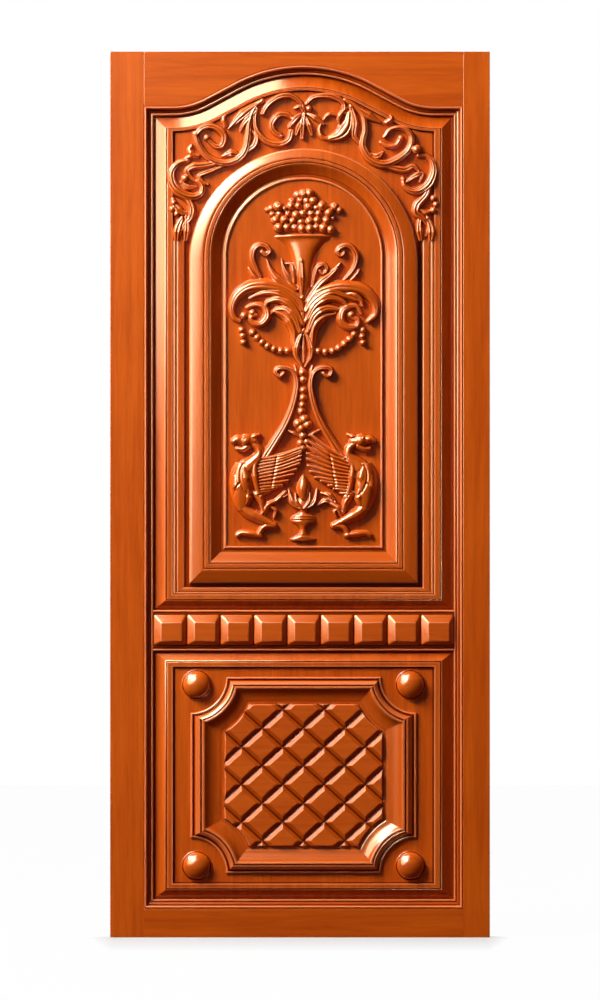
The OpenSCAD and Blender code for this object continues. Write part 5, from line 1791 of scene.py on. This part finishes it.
@dataclass(frozen=True)
class Studio:
    """A pale floor, a white surround, lamps from the upper left and a long frontal lens."""

    distance: float = 15.0
    view_height: float = 2.373
    eye: float = 1.037
    sensor: float = 36.0
    room_colour: Colour = (1.0, 0.42, 0.16, 1.0)
    room_level: float = 0.05
    behind_level: float = 0.8
    behind_rise: float = 0.75
    above_level: float = 0.1
    above_rise: float = 0.5
    floor_half: float = 8.0
    floor_paint: Colour = (0.45, 0.45, 0.45, 1.0)
    floor_glow: float = 0.4
    floor_glow_away: float = 0.98
    front_fade: tuple[float, float] = (-2.2, 0.05)
    back_fade: float = 20.0
    side_fade: tuple[float, float] = (16.0, 7.0)

    def camera(self) -> None:
        """Sets the camera square to the face, with the leaf's corners where the photograph has them."""
        data = bpy.data.cameras.new("camera")
        data.sensor_width = self.sensor
        data.lens = self.sensor * self.distance / self.view_height
        data.clip_end = 100
        camera = bpy.data.objects.new("camera", data)
        camera.location = (0, -self.distance, self.eye)
        camera.rotation_euler = (math.pi / 2, 0, 0)
        bpy.context.scene.collection.objects.link(camera)
        bpy.context.scene.camera = camera

    def world(self) -> None:
        """A surround that is white to the camera, bright behind the leaf and dim in front of it."""
        world = bpy.data.worlds.new("surround")
        world.use_nodes = True
        bpy.context.scene.world = world
        graph = Graph(world.node_tree)
        _, behind, above = graph.parts("Generated")
        level = (behind * self.behind_rise).clamped() * self.behind_level + self.room_level
        level = level + (above * self.above_rise).clamped() * self.above_level
        seen = graph.value("ShaderNodeLightPath", {}, {}, "Is Camera Ray")
        strength = level + seen * (1.0 - level)
        shade = graph.mixed(seen, self.room_colour, WHITE)
        background = world.node_tree.nodes["Background"]
        world.node_tree.links.new(shade.socket, background.inputs["Color"])
        world.node_tree.links.new(strength.socket, background.inputs["Strength"])

    def floor(self) -> None:
        """A wide pale floor that takes the leaf's shadow and throws no light back on it."""
        corners = np.array([(-1, -1, 0), (1, -1, 0), (1, 1, 0), (-1, 1, 0)]) * self.floor_half
        mesh = bpy.data.meshes.new("floor")
        mesh.from_pydata(corners, [], [(0, 1, 2, 3)])
        mesh.materials.append(self.floor_material())
        floor = bpy.data.objects.new("floor", mesh)
        bpy.context.scene.collection.objects.link(floor)
        floor.visible_diffuse = False
        floor.visible_glossy = False

    def floor_material(self) -> bpy.types.Material:
        """A pale paint that glows white to the camera, less so close to the leaf, where its shadow falls.

        Returns:
            The material.
        """
        material = bpy.data.materials.new("floor_paint")
        material.use_nodes = True
        nodes, links = material.node_tree.nodes, material.node_tree.links
        graph = Graph(material.node_tree)
        shader = nodes["Principled BSDF"]
        shader.inputs["Base Color"].default_value = self.floor_paint
        shader.inputs["Roughness"].default_value = 0.9
        shader.inputs["Specular IOR Level"].default_value = 0.0
        seen = graph.value("ShaderNodeLightPath", {}, {}, "Is Camera Ray")
        glow = graph.node("ShaderNodeEmission", {}, {"Color": WHITE, "Strength": 1.0})
        across, depth, _ = graph.parts("Object")
        before = (depth * self.front_fade[0] - self.front_fade[1]).clamped()
        aside = (across.math("ABSOLUTE") * self.side_fade[0] - self.side_fade[1]).clamped()
        away = before + (depth * self.back_fade).clamped() + aside
        share = self.floor_glow + away.clamped() * (self.floor_glow_away - self.floor_glow)
        inputs = {0: seen * share, 1: shader.outputs[0], 2: glow.outputs[0]}
        mixed = graph.node("ShaderNodeMixShader", {}, inputs)
        links.new(mixed.outputs[0], nodes["Material Output"].inputs["Surface"])
        return material

    def build(self) -> None:
        """Sets up the whole studio."""
        self.camera()
        self.world()
        self.floor()
        for lamp in LAMPS:
            lamp.build()


def main() -> None:
    """Builds the studio and every sub-assembly, in order."""
    logging.basicConfig(level=logging.INFO, format="%(message)s")
    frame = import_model()
    bpy.context.scene.view_settings.view_transform = "Standard"
    Studio().build()
    leaf = Leaf.from_frame()
    LOG.info("opening %.1f to %.1f, ground %.2f", leaf.open_l, leaf.open_r, leaf.ground)
    LeafFrame().dress(frame["nodes"])
    PlantedBeads(leaf).build()
    RaisedPanels(leaf).build()
    StudBand(leaf).build()
    ArchMoulding(leaf).build()
    LatticePanel(leaf).build()
    FieldCarving(leaf).build()
    FriezeCarving(leaf).build()


if __name__ == "__main__":
    main()
